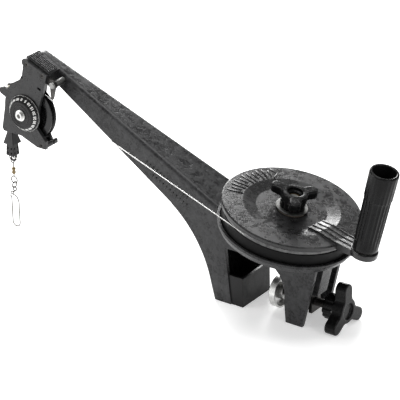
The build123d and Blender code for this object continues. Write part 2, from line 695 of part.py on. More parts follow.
def counter_back_plate():
    """Plate behind the pulley, with arms to the cap, the lower bar and the keeper post."""
    arms = [make_hull([Circle(13).edge(), Pos(14, 44) * Circle(8).edge()]),
            make_hull([Circle(11).edge(), Pos(*LOWER_BAR_AT) * Circle(4.5).edge()]),
            make_hull([Circle(11).edge(), Pos(*POST_AT) * Circle(4.2).edge()])]
    face = arms[0] + arms[1] + arms[2]
    plate = upright(near_axle(face), BACK_IN, BACK_OUT)
    plate = plate + upright(lower_bar_section(), BACK_OUT - 1, BACK_OUT + LUG_LONG)
    plate = plate - y_rod(SHAFT_R + RUN_FIT, PULLEY_X, PULLEY_Z, -60, 0)
    x, z = PULLEY_X + LOWER_BAR_AT[0], PULLEY_Z + LOWER_BAR_AT[1]
    plate = plate - y_rod(SCREW_SMALL_R, x, z, -60, 0)
    bolt = (PULLEY_X + MOUNT_BOLT_AT[0], PULLEY_Z + MOUNT_BOLT_AT[1])
    plate = plate - y_rod(MOUNT_BOLT_R + SEAT_GAP, bolt[0], bolt[1], -60, 0)
    return plate


def cap_face():
    return polygon([(2.5, 66.6), (33.5, 52.8), (26.5, 36.5), (-0.5, 49.0)])


def counter_cap():
    """Ribbed block that joins the front plate to the boom's side, behind the back plate's arm."""
    block = upright(near_axle(cap_face()), FRONT_IN, 0)
    ribs = 6
    pitch = 2.6
    for rib in range(ribs):
        y = FRONT_IN + 2.2 + rib * pitch
        rail = Pos(18, 59.7) * (Rot(0, 0, -BOOM_SLOPE) * Rectangle(31, 2.0))
        block = block + upright(near_axle(rail), y, y + 1.2)
    block = block - extrude(Pos(0, 0, 100) * plan_face(-SEAT_GAP), 200)
    arm = make_hull([Circle(13 + FREE_FIT).edge(), Pos(14, 44) * Circle(8 + FREE_FIT).edge()])
    block = block - upright(near_axle(arm), BACK_IN - SEAT_GAP, BACK_OUT + SEAT_GAP)
    for x, z in small_screw_places()[:2]:
        block = block - y_rod(SCREW_SMALL_R, x, z, -60, FRONT_IN + 10)
    bolt = (PULLEY_X + MOUNT_BOLT_AT[0], PULLEY_Z + MOUNT_BOLT_AT[1])
    block = block - y_rod(MOUNT_BOLT_R + SEAT_GAP, bolt[0], bolt[1], -60, 0)
    return block - y_rod(4.6, bolt[0], bolt[1], FRONT_IN - 1, FRONT_IN + 4.2)


def counter_screws():
    screws = []
    ends = [FRONT_IN + 9, FRONT_IN + 9, BACK_OUT - 0.5]
    for (x, z), end in zip(small_screw_places(), ends):
        head = y_rod(2.7, x, z, FRONT_OUT + 0.3, FRONT_OUT + 2.2) - y_rod(1.2, x, z, FRONT_OUT, FRONT_OUT + 1.4)
        screws.append(head + y_rod(SCREW_SMALL_R, x, z, FRONT_OUT + 2.2, end))
    return Compound(children=screws)


def counter_mount_bolt():
    x, z = PULLEY_X + MOUNT_BOLT_AT[0], PULLEY_Z + MOUNT_BOLT_AT[1]
    head = y_rod(4.4, x, z, FRONT_IN + 0.4, FRONT_IN + 4.2) - y_rod(2, x, z, FRONT_IN, FRONT_IN + 2.5)
    return head + y_rod(MOUNT_BOLT_R, x, z, FRONT_IN + 4.2, -0.5)


def lower_bar_section():
    return near_axle(Pos(*LOWER_BAR_AT) * RectangleRounded(LOWER_BAR[0], LOWER_BAR[1], 2.4))


def counter_lower_bar():
    bar = upright(lower_bar_section(), FRONT_IN, BACK_IN)
    x, z = small_screw_places()[2]
    return bar - y_rod(SCREW_SMALL_R, x, z, -60, 0)


def keeper_post():
    x, z = PULLEY_X + POST_AT[0], PULLEY_Z + POST_AT[1]
    return y_rod(POST_R, x, z, FRONT_IN, BACK_IN)


def y_turned(points):
    """A solid of revolution about the pulley's axis, from (radius, distance towards -Y) points."""
    outline = turned(points)
    return Location((PULLEY_X, 0, PULLEY_Z), (90, 0, 0)) * outline


def pulley():
    """Grooved wheel, dished on both sides."""
    half = PULLEY_WIDE / 2
    middle = -PULLEY_Y
    groove = PULLEY_LINE_R - LINE_D / 2 - 0.4
    lip = half - PULLEY_RIM_WALL
    return y_turned([(SHAFT_R + SNUG, middle - half), (9, middle - half), (11, middle - 1.5), (24, middle - 1.5),
                     (26, middle - half), (PULLEY_R, middle - half), (PULLEY_R, middle - lip), (groove, middle - 0.8),
                     (groove, middle + 0.8), (PULLEY_R, middle + lip), (PULLEY_R, middle + half), (26, middle + half),
                     (24, middle + 1.5), (11, middle + 1.5), (9, middle + half), (SHAFT_R + SNUG, middle + half)])


DIAL_BACK = FRONT_OUT - 0.4
DIAL_FACE = DIAL_BACK - DIAL_DEEP


def pulley_shaft():
    """Shaft through both plates, with the pinion that drives the reduction wheel."""
    shaft = y_rod(SHAFT_R, PULLEY_X, PULLEY_Z, DIAL_FACE - 1.0, BACK_OUT)
    teeth = near_axle(gear_face(PINION_TEETH, GEAR_MODULE, 90))
    return shaft + upright(teeth, FRONT_IN - GEAR_THICK, FRONT_IN - 0.2)


def dial_screw():
    at = near_axle(Circle(6.4) - Circle(SHAFT_R))
    flange = upright(at, DIAL_FACE - 1.0, DIAL_FACE - 0.3)
    cap = y_rod(4.4, PULLEY_X, PULLEY_Z, DIAL_FACE - 3.6, DIAL_FACE - 1.0)
    socket = upright(near_axle(hex_face(DIAL_SOCKET)), DIAL_FACE - 4, DIAL_FACE - 1.1)
    return flange + cap - socket


def reduction_gear():
    """Wheel behind the plate and small gear in front of it, joined by a journal in the plate."""
    at = Pos(PULLEY_X, PULLEY_Z + IDLER_UP)
    wheel_phase = 270 + 180 / WHEEL_TEETH
    wheel = upright(at * gear_face(WHEEL_TEETH, GEAR_MODULE, wheel_phase), FRONT_IN - GEAR_THICK, FRONT_IN - 0.2)
    journal = y_rod(JOURNAL_R, PULLEY_X, PULLEY_Z + IDLER_UP, DIAL_BACK + 0.2, FRONT_IN - 1)
    small = upright(at * gear_face(PINION_TEETH, GEAR_MODULE, 90), DIAL_BACK - GEAR_THICK, DIAL_BACK + 0.3)
    return wheel + journal + small


def dial():
    """Conical number ring, hollow behind, with the ring gear's teeth inside its foot."""
    base = -DIAL_BACK
    face = -DIAL_FACE
    shell = y_turned([(SHAFT_R + RUN_FIT, base + DIAL_DEEP - DIAL_WALL), (DIAL_FRONT_R - DIAL_WALL, face - DIAL_WALL),
                      (DIAL_FRONT_R + 0.8, base + GEAR_THICK + 1), (0.1 + DIAL_FRONT_R / 2, base + GEAR_THICK + 1),
                      (0.1 + DIAL_FRONT_R / 2, base), (DIAL_R, base), (DIAL_R, base + 1), (DIAL_FRONT_R, face),
                      (SHAFT_R + RUN_FIT, face)])
    hollow = near_axle(gear_face(RING_TEETH, GEAR_MODULE, 90, inside=True))
    return shell - upright(hollow, DIAL_BACK - GEAR_THICK - 0.6, DIAL_BACK + 1) - dial_room()


def dial_room():
    """Clears the dial's inside above the ring gear."""
    room = GEAR_MODULE * (RING_TEETH / 2 - 0.75)
    return y_rod(room, PULLEY_X, PULLEY_Z, DIAL_BACK - GEAR_THICK - 1.2, DIAL_BACK + 1)


def roller_bracket():
    """Thin arm that holds the guide roller's pin and keeps the line in the groove."""
    x, z = ROLLER_AT
    arm = make_hull([Pos(x, z) * Circle(5).edge(), Pos(29.5, 45) * Circle(4).edge()])
    finger = make_hull([Pos(x, z) * Circle(4).edge(), Pos(36.0, 24.0) * Circle(1.4).edge()])
    plate = upright(near_axle(arm + finger), FRONT_IN, FRONT_IN + 2.5)
    plate = plate - upright(near_axle(cap_face()), FRONT_IN - 1, FRONT_IN + 30)
    return plate - y_rod(ROLLER_PIN_R + SEAT_GAP, PULLEY_X + x, PULLEY_Z + z, -60, 0)


def guide_roller():
    x, z = PULLEY_X + ROLLER_AT[0], PULLEY_Z + ROLLER_AT[1]
    end = -half_width(x) - 0.8
    ring = Pos(x, z) * (Circle(ROLLER_R) - Circle(ROLLER_PIN_R + RUN_FIT))
    return upright(ring, FRONT_IN + 2.8, end)


def roller_pin():
    x, z = PULLEY_X + ROLLER_AT[0], PULLEY_Z + ROLLER_AT[1]
    head = y_rod(4.0, x, z, FRONT_IN - 2.2, FRONT_IN)
    head = fillet(head.edges().sort_by(Axis.Y)[0], 1.4)
    return head + y_rod(ROLLER_PIN_R, x, z, FRONT_IN - 1, -half_width(x) + 7.5)


# ----------------------------------------------------------------- line ----


def line_route():
    """Corners of the taut line: off the spool, over the pulley, down to the boot."""
    top = spool_point(0, 0, LINE_S)
    across = (LINE_X - top[0]) / cos(LEAN)
    corner = spool_point(across, PULLEY_Y, LINE_S)
    turn = pi / 2 + LEAN
    bend = PULLEY_LINE_R * tan(turn / 2)
    entry_across = across + bend + LINE_LEAD
    entry = spool_point(entry_across, PULLEY_Y, LINE_S)
    reach = hypot(entry_across, PULLEY_Y)
    angle = atan2(PULLEY_Y, entry_across) + acos(LINE_WOUND_R / reach)
    leave = spool_point(LINE_WOUND_R * cos(angle), LINE_WOUND_R * sin(angle), LINE_S)
    foot = (LINE_X, PULLEY_Y, BOOT_TOP - BOOT_PIVOT_DEEP)
    return leave, entry, corner, foot


def line():
    leave, entry, corner, foot = line_route()
    path = FilletPolyline(leave, entry, corner, foot, radius=[LINE_SWING, PULLEY_LINE_R])
    print("line: radii", LINE_SWING, "and", PULLEY_LINE_R, "length", round(path.length, 1))
    section = Plane(origin=leave, z_dir=path % 0) * Circle(LINE_D / 2)
    return sweep(section, path=path)


# --------------------------------------------------------- terminal rig ----

RIG = Pos(LINE_X, PULLEY_Y, 0)
BLOCK_TOP = BOOT_TOP - BOOT_CONE_LONG
BLOCK_LOW = BLOCK_TOP - BOOT_BLOCK_LONG
LOOP_R = 4.6
LOOP_WIRE_R = 1.3
PIN_R = 1.1
PIN_Z = BLOCK_LOW - 3.5
LINK_GAP = 0.3             # between two hanging rings
UPPER_EYE_Z = PIN_Z + PIN_R + LINK_GAP + EYE_WIRE_R - EYE_R
BARREL_TOP = UPPER_EYE_Z - EYE_R - UPPER_STEM
BARREL_LOW = BARREL_TOP - BARREL_LONG
LOWER_EYE_Z = BARREL_LOW - LOWER_STEM - LOWER_EYE_R
RING_STEP = 2 * EYE_WIRE_R + LINK_GAP
LINK_Z = LOWER_EYE_Z - LOWER_EYE_R + RING_STEP - LINK_R
SNAP_TOP = LINK_Z - LINK_R + RING_STEP - SNAP_EYE_R


def boot_cone():
    """Square skirt that flares downwards, with a flared hole for the line."""
    top = Pos(0, 0, BOOT_TOP) * Rectangle(BOOT_CONE_TOP, BOOT_CONE_TOP)
    foot = Pos(0, 0, BLOCK_TOP) * Rectangle(BOOT_CONE_FOOT, BOOT_CONE_FOOT)
    cone = loft([foot, top])
    mouth = turned([(0, BOOT_TOP - 3.2), (0.8, BOOT_TOP - 3.2), (2.3, BOOT_TOP + 0.1), (0, BOOT_TOP + 0.1)])
    return RIG * (cone - mouth - rod(1.6, BLOCK_TOP - 1, BLOCK_TOP + 7))


def line_crimp():
    return RIG * rod(1.5, BLOCK_TOP - 4, BLOCK_TOP + 6)


def boot_block():
    """Tapered block with a moulded loop under it."""
    side = BOOT_BLOCK_SIDE
    top = Pos(0, 0, BLOCK_TOP) * Rectangle(side - 1.4, side - 1.4)
    foot = Pos(0, 0, BLOCK_LOW) * Rectangle(side, side)
    block = loft([foot, top])
    ring = Pos(0, 0, PIN_Z + 1.0) * (Rot(90, 0, 0) * Torus(LOOP_R, LOOP_WIRE_R))
    block = block + ring
    block = block - Pos(0, 0, PIN_Z) * (Rot(0, 90, 0) * rod(PIN_R + 0.01, -7, 7))
    slot = Box(side * 2, 1.6, 2.6)
    for dz in (3.5, 9.0):
        for dy in (-2.6, 2.6):
            block = block - Pos(side * 0.98, dy, BLOCK_LOW + dz) * slot
            block = block - Rot(0, 0, 90) * Pos(-side * 1.3, dy, BLOCK_LOW + dz) * slot
    return RIG * (block - rod(1.6, BLOCK_TOP - 5, BLOCK_TOP + 1))


def boot_pin():
    return RIG * (Pos(0, 0, PIN_Z) * (Rot(0, 90, 0) * rod(PIN_R, -LOOP_R - 1, LOOP_R + 1)))


def swivel_eye():
    ring = Pos(0, 0, UPPER_EYE_Z) * (Rot(0, 90, 0) * Torus(EYE_R, EYE_WIRE_R))
    stem = rod(EYE_WIRE_R, BARREL_TOP - 1.5, UPPER_EYE_Z - EYE_R)
    return RIG * (ring + stem + rod(1.5, BARREL_TOP - 2.2, BARREL_TOP - 1.5))


def swivel_barrel():
    """Turned barrel, hollow at both ends for the heads of the two eyes."""
    top, low, r = BARREL_TOP, BARREL_LOW, BARREL_R
    shell = turned([(0, top), (r - 1.0, top), (r, top - 1.4), (r, top - 2.8), (r - 0.5, top - 3.4), (r - 0.5, low + 3.4),
                    (r, low + 2.8), (r, low + 1.4), (r - 1.0, low), (0, low)])
    shell = shell - rod(EYE_WIRE_R + RUN_FIT, low - 1, top + 1)
    for middle in (top - 1.85, low + 1.85):
        shell = shell - rod(1.5 + RUN_FIT, middle - 0.5, middle + 0.5)
    return RIG * shell


def swivel_lower_eye():
    ring = Pos(0, 0, LOWER_EYE_Z) * (Rot(90, 0, 0) * Torus(LOWER_EYE_R, EYE_WIRE_R))
    stem = rod(EYE_WIRE_R, LOWER_EYE_Z + LOWER_EYE_R, BARREL_LOW + 1.6)
    return RIG * (ring + stem + rod(1.5, BARREL_LOW + 1.5, BARREL_LOW + 2.2))


def connecting_link():
    return RIG * (Pos(0, 0, LINK_Z) * (Rot(0, 90, 0) * Torus(LINK_R, EYE_WIRE_R)))


def wire(points, radii, radius):
    path = FilletPolyline(*points, radius=radii)
    section = Plane(origin=points[0], z_dir=path % 0) * Circle(radius)
    return sweep(section, path=path)


COIL_R = 1.8
COIL_Z = SNAP_TOP - SNAP_EYE_R - 3.5
COIL_X = -SNAP_WIDE / 2 + 1.0
GATE_FOOT = SNAP_LOW + 12.0


def snap_frame():
    """Spring-wire snap: an eye, a coil, the shoulder, the long leg and the round foot."""
    half = SNAP_WIDE / 2
    low = SNAP_LOW + SNAP_WIRE_R
    eye = Pos(0, 0, SNAP_TOP) * (Rot(90, 0, 0) * Torus(SNAP_EYE_R, SNAP_WIRE_R))
    coil = Pos(COIL_X, 0, COIL_Z) * (Rot(90, 0, 0) * Torus(COIL_R, SNAP_WIRE_R))
    neck = wire([(0, 0, SNAP_TOP - SNAP_EYE_R), (0, 0, COIL_Z + COIL_R + 0.4), (COIL_X, 0, COIL_Z + COIL_R)], [0.6],
                SNAP_WIRE_R)
    leg = wire([(COIL_X, 0, COIL_Z - COIL_R), (half - 3, 0, COIL_Z - COIL_R - 1), (half, 0, COIL_Z - COIL_R - 7),
                (half, 0, low), (-half, 0, low), (-half, 0, GATE_FOOT)],
               [3.0, 4.0, half * 0.95, half * 0.95], SNAP_WIRE_R)
    return RIG * (eye + coil + neck + leg)


def snap_gate():
    """The free leg of the snap, which springs outwards to let a weight's ring on."""
    half = SNAP_WIDE / 2
    top = COIL_Z - COIL_R - SNAP_WIRE_R
    hook = [(-half, 0, GATE_FOOT + SEAT_GAP), (-half, 0, top - 3.0), (-half - 2.4, 0, top - 1.2)]
    return RIG * wire(hook, [1.4], SNAP_WIRE_R)


# -------------------------------------------------------------- writing ----

PARTS = {
    "frame": frame, "fixed_jaw": fixed_jaw, "nut_plate": nut_plate, "spindle_bolt": spindle_bolt,
    "thrust_washer": thrust_washer, "spool_flange": spool_flange, "spool_drum": spool_drum,
    "flange_screws": flange_screws, "spool_bushing": spool_bushing, "wound_line": wound_line,
    "brake_washer": brake_washer, "pressure_washer": pressure_washer, "brake_knob": brake_knob,
    "brake_insert": brake_insert, "grip": grip, "grip_bushing": grip_bushing, "grip_washer": grip_washer,
    "grip_axle": grip_axle, "grip_nut": grip_nut, "clamp_pad": clamp_pad, "clamp_screw": clamp_screw,
    "clamp_knob": clamp_knob, "clamp_insert": clamp_insert, "counter_front_plate": counter_front_plate,
    "counter_back_plate": counter_back_plate, "counter_cap": counter_cap, "counter_screws": counter_screws,
    "counter_mount_bolt": counter_mount_bolt, "counter_lower_bar": counter_lower_bar, "keeper_post": keeper_post,
    "pulley": pulley, "pulley_shaft": pulley_shaft, "dial_screw": dial_screw, "reduction_gear": reduction_gear,
    "dial": dial, "roller_bracket": roller_bracket, "guide_roller": guide_roller, "roller_pin": roller_pin,
    "line": line, "boot_cone": boot_cone, "line_crimp": line_crimp, "boot_block": boot_block,
    "boot_pin": boot_pin, "swivel_eye": swivel_eye, "swivel_barrel": swivel_barrel,
    "swivel_lower_eye": swivel_lower_eye, "connecting_link": connecting_link, "snap_frame": snap_frame,
    "snap_gate": snap_gate,
}


def build():
    solids = {name: make() for name, make in PARTS.items()}
    boxes = [solid.bounding_box() for solid in solids.values()]
    middle_x = (min(b.min.X for b in boxes) + max(b.max.X for b in boxes)) / 2
    middle_y = (min(b.min.Y for b in boxes) + max(b.max.Y for b in boxes)) / 2
    home = Pos(-middle_x, -middle_y, 0)
    print("moved by", round(-middle_x, 4), round(-middle_y, 4))
    os.makedirs("parts", exist_ok=True)
    for name, solid in solids.items():
        export_step(home * solid, f"parts/{name}.step")


build()
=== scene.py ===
# %% [markdown]
# # A clamp-on manual downrigger
# A downrigger lowers a fishing weight on a wire. This one clamps on a boat's side. Its frame, spool, gears
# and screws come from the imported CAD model, which is the fixed frame here. This lesson gives each of them a
# real surface, and models what the plain CAD solids leave out: flutes, threads, wound wire, numerals and
# rounded, moulded edges.
# %% Load the frame
import json
import math
import random
import bpy
from mathutils import Matrix, Vector


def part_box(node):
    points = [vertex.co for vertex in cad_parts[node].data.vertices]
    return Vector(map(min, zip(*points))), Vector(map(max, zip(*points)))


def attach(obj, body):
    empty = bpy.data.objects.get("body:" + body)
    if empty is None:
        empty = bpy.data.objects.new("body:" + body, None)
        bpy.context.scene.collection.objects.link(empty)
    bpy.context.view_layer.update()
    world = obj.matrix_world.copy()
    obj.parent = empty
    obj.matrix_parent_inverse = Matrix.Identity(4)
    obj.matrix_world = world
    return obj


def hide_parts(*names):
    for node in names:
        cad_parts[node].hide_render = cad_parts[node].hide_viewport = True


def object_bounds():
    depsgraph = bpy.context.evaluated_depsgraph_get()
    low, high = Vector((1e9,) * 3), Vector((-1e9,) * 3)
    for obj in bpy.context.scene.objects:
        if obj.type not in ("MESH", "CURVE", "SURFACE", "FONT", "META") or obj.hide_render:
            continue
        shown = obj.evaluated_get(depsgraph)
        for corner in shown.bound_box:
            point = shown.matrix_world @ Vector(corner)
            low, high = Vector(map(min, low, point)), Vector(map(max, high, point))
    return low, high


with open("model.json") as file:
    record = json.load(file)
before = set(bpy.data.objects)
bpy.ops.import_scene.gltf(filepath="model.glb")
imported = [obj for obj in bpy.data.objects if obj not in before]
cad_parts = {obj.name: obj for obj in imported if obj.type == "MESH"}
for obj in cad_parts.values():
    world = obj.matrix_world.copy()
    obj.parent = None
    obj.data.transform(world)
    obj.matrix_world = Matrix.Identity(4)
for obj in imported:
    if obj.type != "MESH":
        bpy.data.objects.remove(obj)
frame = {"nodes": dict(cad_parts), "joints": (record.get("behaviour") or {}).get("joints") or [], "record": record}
nodes = frame["nodes"]
joints = {joint["name"]: joint for joint in frame["joints"]}
body_of = {node: body for body, names in frame["record"]["behaviour"]["bodies"].items() for node in names}
slot_of = {part["node"]: part["material_slot"] for part in frame["record"]["subparts"]}
cad_box = [list(corner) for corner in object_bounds()]
MM = 0.001
print("nodes", len(nodes), "box", cad_box)

# %% [markdown]
# ## Camera first
# The object is looked at from its front right corner, well above it, through a long lens. A long lens keeps
# the boom's far end almost as large as its near end. The camera is placed by three angles and a distance
# from one point in the middle of the object.
# %% Camera
AZIMUTH = math.radians(36.17)
ELEVATION = math.radians(25.57)
ROLL = math.radians(-0.92)
DISTANCE = 2.5007
LENS = 206.5
TARGET = Vector((-0.0200, 0.0243, 0.0834))


def add_camera():
    """A camera that looks at TARGET, its axes worked out from the three angles."""
    back = Vector((math.sin(AZIMUTH) * math.cos(ELEVATION), -math.cos(AZIMUTH) * math.cos(ELEVATION),
                   math.sin(ELEVATION)))
    right = Vector((math.cos(AZIMUTH), math.sin(AZIMUTH), 0))
    up = back.cross(right)
    turned_right = math.cos(ROLL) * right + math.sin(ROLL) * up
    turned_up = math.cos(ROLL) * up - math.sin(ROLL) * right
    bpy.ops.object.camera_add(location=TARGET + back * DISTANCE)
    camera = bpy.context.object
    camera.name = "camera"
    camera.rotation_euler = Matrix((turned_right, turned_up, back)).transposed().to_euler()
    camera.data.lens = LENS
    camera.data.sensor_width = 36
    bpy.context.scene.camera = camera
    return camera


camera = add_camera()
print("camera at", [round(value, 3) for value in camera.location])

# %% [markdown]
# ## Floor and light
# Black plastic shows its shape only by what it reflects. So the floor and the world are near white, and
# large soft lamps stand above, behind and to the left, to draw long highlights along the boom and the rims.
# %% Stage
FLOOR_SIZE = 30
FLOOR_DROP = 0.0002
FLOOR_GREY = 0.93
FLOOR_GLOW = 0.42
ROOM_LIGHT = 0.30


def add_stage():
    """A floor that runs far past the view, and the world's light."""
    bpy.ops.mesh.primitive_plane_add(size=FLOOR_SIZE, location=(0, 0, cad_box[0][2] - FLOOR_DROP))
    floor = bpy.context.object
    floor.name = "floor"
    white = bpy.data.materials.new("floor_white")
    white.use_nodes = True
    shader = white.node_tree.nodes["Principled BSDF"]
    shader.inputs["Base Color"].default_value = (FLOOR_GREY, FLOOR_GREY, FLOOR_GREY, 1)
    shader.inputs["Roughness"].default_value = 0.75
    shader.inputs["Emission Color"].default_value = (1, 1, 1, 1)
    shader.inputs["Emission Strength"].default_value = FLOOR_GLOW
    floor.data.materials.append(white)
    world = bpy.data.worlds.new("soft_room")
    world.use_nodes = True
    world.node_tree.nodes["Background"].inputs["Color"].default_value = (1, 1, 1, 1)
    world.node_tree.nodes["Background"].inputs["Strength"].default_value = ROOM_LIGHT
    bpy.context.scene.world = world


def add_softbox(name, place, size, watts):
    """A square area lamp aimed at the object's middle."""
    bpy.ops.object.light_add(type="AREA", location=place)
    lamp = bpy.context.object
    lamp.name = name
    lamp.data.size = size
    lamp.data.energy = watts
    lamp.rotation_euler = (TARGET - Vector(place)).to_track_quat("-Z", "Y").to_euler()


add_stage()
add_softbox("lamp_back", (-1.5, 1.8, 1.1), 1.3, 80)
add_softbox("lamp_top", (-0.1, 0.1, 1.9), 1.0, 24)
add_softbox("lamp_left", (-1.5, -1.3, 0.35), 0.8, 16)
add_softbox("lamp_right", (1.5, -0.3, 0.7), 0.5, 5)
bpy.context.scene.view_settings.view_transform = "Standard"

# %% [markdown]
# ## Arithmetic on shader sockets
# A finish is a small sum: a base value, plus fine grain, minus wear and a painted highlight at the edges. Written
# with nodes alone it is long and hard to read. The class below wraps one output socket, so that sums, differences
# and products of it can be written as ordinary expressions, and each operator adds its Math node.
# %% Shader helpers


class Value:
    """One output socket, with the operators of arithmetic."""

    def __init__(self, finish, socket):
        self.finish = finish
        self.socket = socket

    def math(self, operation, first, second=0.0):
        return self.finish.node("ShaderNodeMath", {"operation": operation}, {0: first, 1: second})

    def __add__(self, other):
        return self.math("ADD", self, other)

    __radd__ = __add__

    def __mul__(self, other):
        return self.math("MULTIPLY", self, other)

    __rmul__ = __mul__

    def __sub__(self, other):
        return self.math("SUBTRACT", self, other)

    def __rsub__(self, other):
        return self.math("SUBTRACT", other, self)

    def least(self, other):
        return self.math("MINIMUM", self, other)

    def most(self, other):
        return self.math("MAXIMUM", self, other)

    def above(self, low, high):
        """0 below low, 1 above high, and smooth between."""
        return self.finish.node("ShaderNodeMapRange", {"interpolation_type": "SMOOTHSTEP"},
                                {"Value": self, "From Min": low, "From Max": high})


class Finish:
    """A material in the making: one Principled shader and a way to add any node."""

    def __init__(self, name, **fixed):
        self.material = bpy.data.materials.new(name)
        self.material.use_nodes = True
        self.tree = self.material.node_tree
        self.shader = self.tree.nodes["Principled BSDF"]
        self.place = self.node("ShaderNodeTexCoord", output="Object")
        self.give(fixed)

    def give(self, inputs):
        """Fixed numbers or links for the Principled shader, by socket name with _ for a space."""
        for name, value in inputs.items():
            self.plug(self.shader.inputs[name.replace("_", " ")], value)

    def plug(self, socket, value):
        if isinstance(value, Value):
            self.tree.links.new(value.socket, socket)
        elif isinstance(value, tuple) and len(value) == 3 and len(socket.default_value) == 4:
            socket.default_value = (*value, 1)
        else:
            socket.default_value = value

    def node(self, kind, settings=None, inputs=None, output=0):
        """Any node: its settings first, then its sockets, and the output asked for."""
        node = self.tree.nodes.new(kind)
        for name, value in (settings or {}).items():
            setattr(node, name, value)
        for name, value in (inputs or {}).items():
            self.plug(node.inputs[name], value)
        return Value(self, node.outputs[output])

    def noise(self, size_mm, detail=2.0, roughness=0.5, distortion=0.0, place=None):
        """Smooth noise from 0 to 1 whose blobs are about size_mm across."""
        return self.node("ShaderNodeTexNoise", None, {"Vector": place or self.place, "Scale": 1000 / size_mm,
                         "Detail": detail, "Roughness": roughness, "Distortion": distortion})

    def cells(self, size_mm, place=None):
        """Distance to the nearest of scattered points, for pebbled grain."""
        return self.node("ShaderNodeTexVoronoi", None,
                         {"Vector": place or self.place, "Scale": 1000 / size_mm})

    def stretched(self, x, y, z):
        """Object coordinates squeezed along each axis."""
        return self.node("ShaderNodeMapping", None, {"Vector": self.place, "Scale": (x, y, z)})

    def blend(self, share, first, second):
        """One colour going over to another as share goes from 0 to 1."""
        node = self.tree.nodes.new("ShaderNodeMix")
        node.data_type = "RGBA"
        self.plug(node.inputs[0], share)
        self.plug(node.inputs[6], first)
        self.plug(node.inputs[7], second)
        return Value(self, node.outputs[2])

    def soft_edges(self, radius_mm):
        """The surface's normal as if every sharp edge had a small radius."""
        return self.node("ShaderNodeBevel", {"samples": 6}, {"Radius": radius_mm * MM})

    def edge_wear_and_highlight(self, rounded):
        """1 on sharp edges, 0 on flats: how far the rounded normal leaves the true one. Edges lightened by it show
        wear and a painted highlight.
        """
        true = self.node("ShaderNodeNewGeometry", output="Normal")
        dot = self.node("ShaderNodeVectorMath", {"operation": "DOT_PRODUCT"}, {0: rounded, 1: true},
                        output="Value")
        return (1 - dot).above(0.02, 0.25)

    def bump(self, height, depth_mm, normal=None):
        """Gives the shader a normal from a height of 0 to 1 that stands for depth_mm."""
        inputs = {"Height": height, "Distance": depth_mm * MM, "Strength": 1.0}
        if normal:
            inputs["Normal"] = normal
        self.give({"Normal": self.node("ShaderNodeBump", None, inputs)})


def grey(level, blue=0.0):
    return (level, level, level * (1 + blue))


# %% [markdown]
# ## Moulded plastic
# The frame, spool and housings are glass-filled nylon. Up close it is not one black: the melt leaves long
# cloudy flow marks, the tool leaves a pebbled skin, and the edges are a lighter grey, partly wear and partly a
# painted highlight.
# All three are built from noises of different sizes, and one function makes every plastic of the object.
# %% Plastic finishes


def moulded(name, level, gloss, pebble_mm, pebble_depth, edge_mm, cloud=0.35, wear_and_highlight=0.5, waves=0.12, shine=0.3,
            bloom=0.012):
    """Moulded plastic: grey level, roughness, pebble size and depth, edge radius, then how strong its flow
    marks, lighter edges (wear and painted highlight), waves, shine and pale bloom are."""
    finish = Finish(name, Specular_IOR_Level=shine)
    flow = finish.noise(30, 4, 0.62, 1.6)
    cloudy = flow.above(0.35, 0.68)
    mottle = finish.noise(5, 4, 0.65, 0.6).above(0.32, 0.68)
    fine = finish.noise(1.6, 4, 0.6)
    streak = finish.noise(9, 3, 0.6, 0.4, finish.stretched(0.35, 1, 1))
    rounded = finish.soft_edges(edge_mm)
    # Edges turn a lighter grey in patches: partly wear, partly a painted highlight on the edges.
    worn = finish.edge_wear_and_highlight(rounded) * finish.noise(7, 3, 0.7).above(0.3, 0.7) * wear_and_highlight
    share = (cloudy * 0.35 + mottle * 0.4 + fine * 0.25 + streak * 0.2) * cloud + worn
    light = level * 2.6 + bloom
    finish.give({"Base_Color": finish.blend(share, grey(level, 0.03), grey(light, 0.03)),
                 "Roughness": (gloss + (fine - 0.5) * 0.2 + (cloudy - 0.5) * 0.14 + (mottle - 0.5) * 0.12
                               - worn * 0.1).most(0.12)})
    pebble = finish.cells(pebble_mm) * 0.6 + finish.noise(pebble_mm * 0.7, 3, 0.6) * 0.6
    finish.bump(pebble + mottle * (waves / pebble_depth), pebble_depth, rounded)
    return finish.material


finishes = {
    "body_plastic": moulded("charcoal_nylon", 0.003, 0.33, 0.9, 0.07, 0.9, cloud=0.9, waves=0.12, shine=0.18,
                            bloom=0.045),
    "spool_plastic": moulded("satin_nylon", 0.004, 0.30, 0.8, 0.04, 0.7, cloud=0.5, waves=0.05, shine=0.45,
                             bloom=0.02),
    # The drum is the spool's own plastic, made darker, with less pale mottling and less shine: painted shade under
    # the flange.
    "drum_plastic_painted_shade": moulded("drum_nylon_painted_shade", 0.003, 0.5, 0.8, 0.03, 0.7, cloud=0.2, wear_and_highlight=0.1, waves=0.04,
                            shine=0.1),
    "housing_plastic": moulded("housing_nylon", 0.008, 0.34, 0.6, 0.03, 0.5, cloud=0.6, waves=0.08,
                               shine=0.32),
    "jaw_plastic": moulded("jaw_nylon", 0.004, 0.45, 0.8, 0.03, 0.7, cloud=0.3, waves=0.05, shine=0.2),
    "knob_plastic": moulded("glossy_knob_plastic", 0.003, 0.27, 0.7, 0.012, 0.9, cloud=0.25, wear_and_highlight=0.25,
                            waves=0.03, shine=0.13),
    "pulley_plastic": moulded("pulley_acetal", 0.003, 0.18, 1.2, 0.01, 0.4, cloud=0.3, wear_and_highlight=0.3, waves=0.01),
    "dial_plastic": moulded("dial_plastic", 0.004, 0.34, 0.7, 0.01, 0.3, cloud=0.3, wear_and_highlight=0.3, waves=0.01,
                            shine=0.25),
    "boot_rubber": moulded("boot_vinyl", 0.006, 0.45, 0.5, 0.02, 0.6, cloud=0.4, wear_and_highlight=0.25, waves=0.03),
}

# %% [markdown]
# ## Nylon and fibre
# The gear wheels and washers are natural nylon, which is creamy and lets a little light in. The brake
# lining is pressed fibre, dull and speckled.
# %% Light plastics


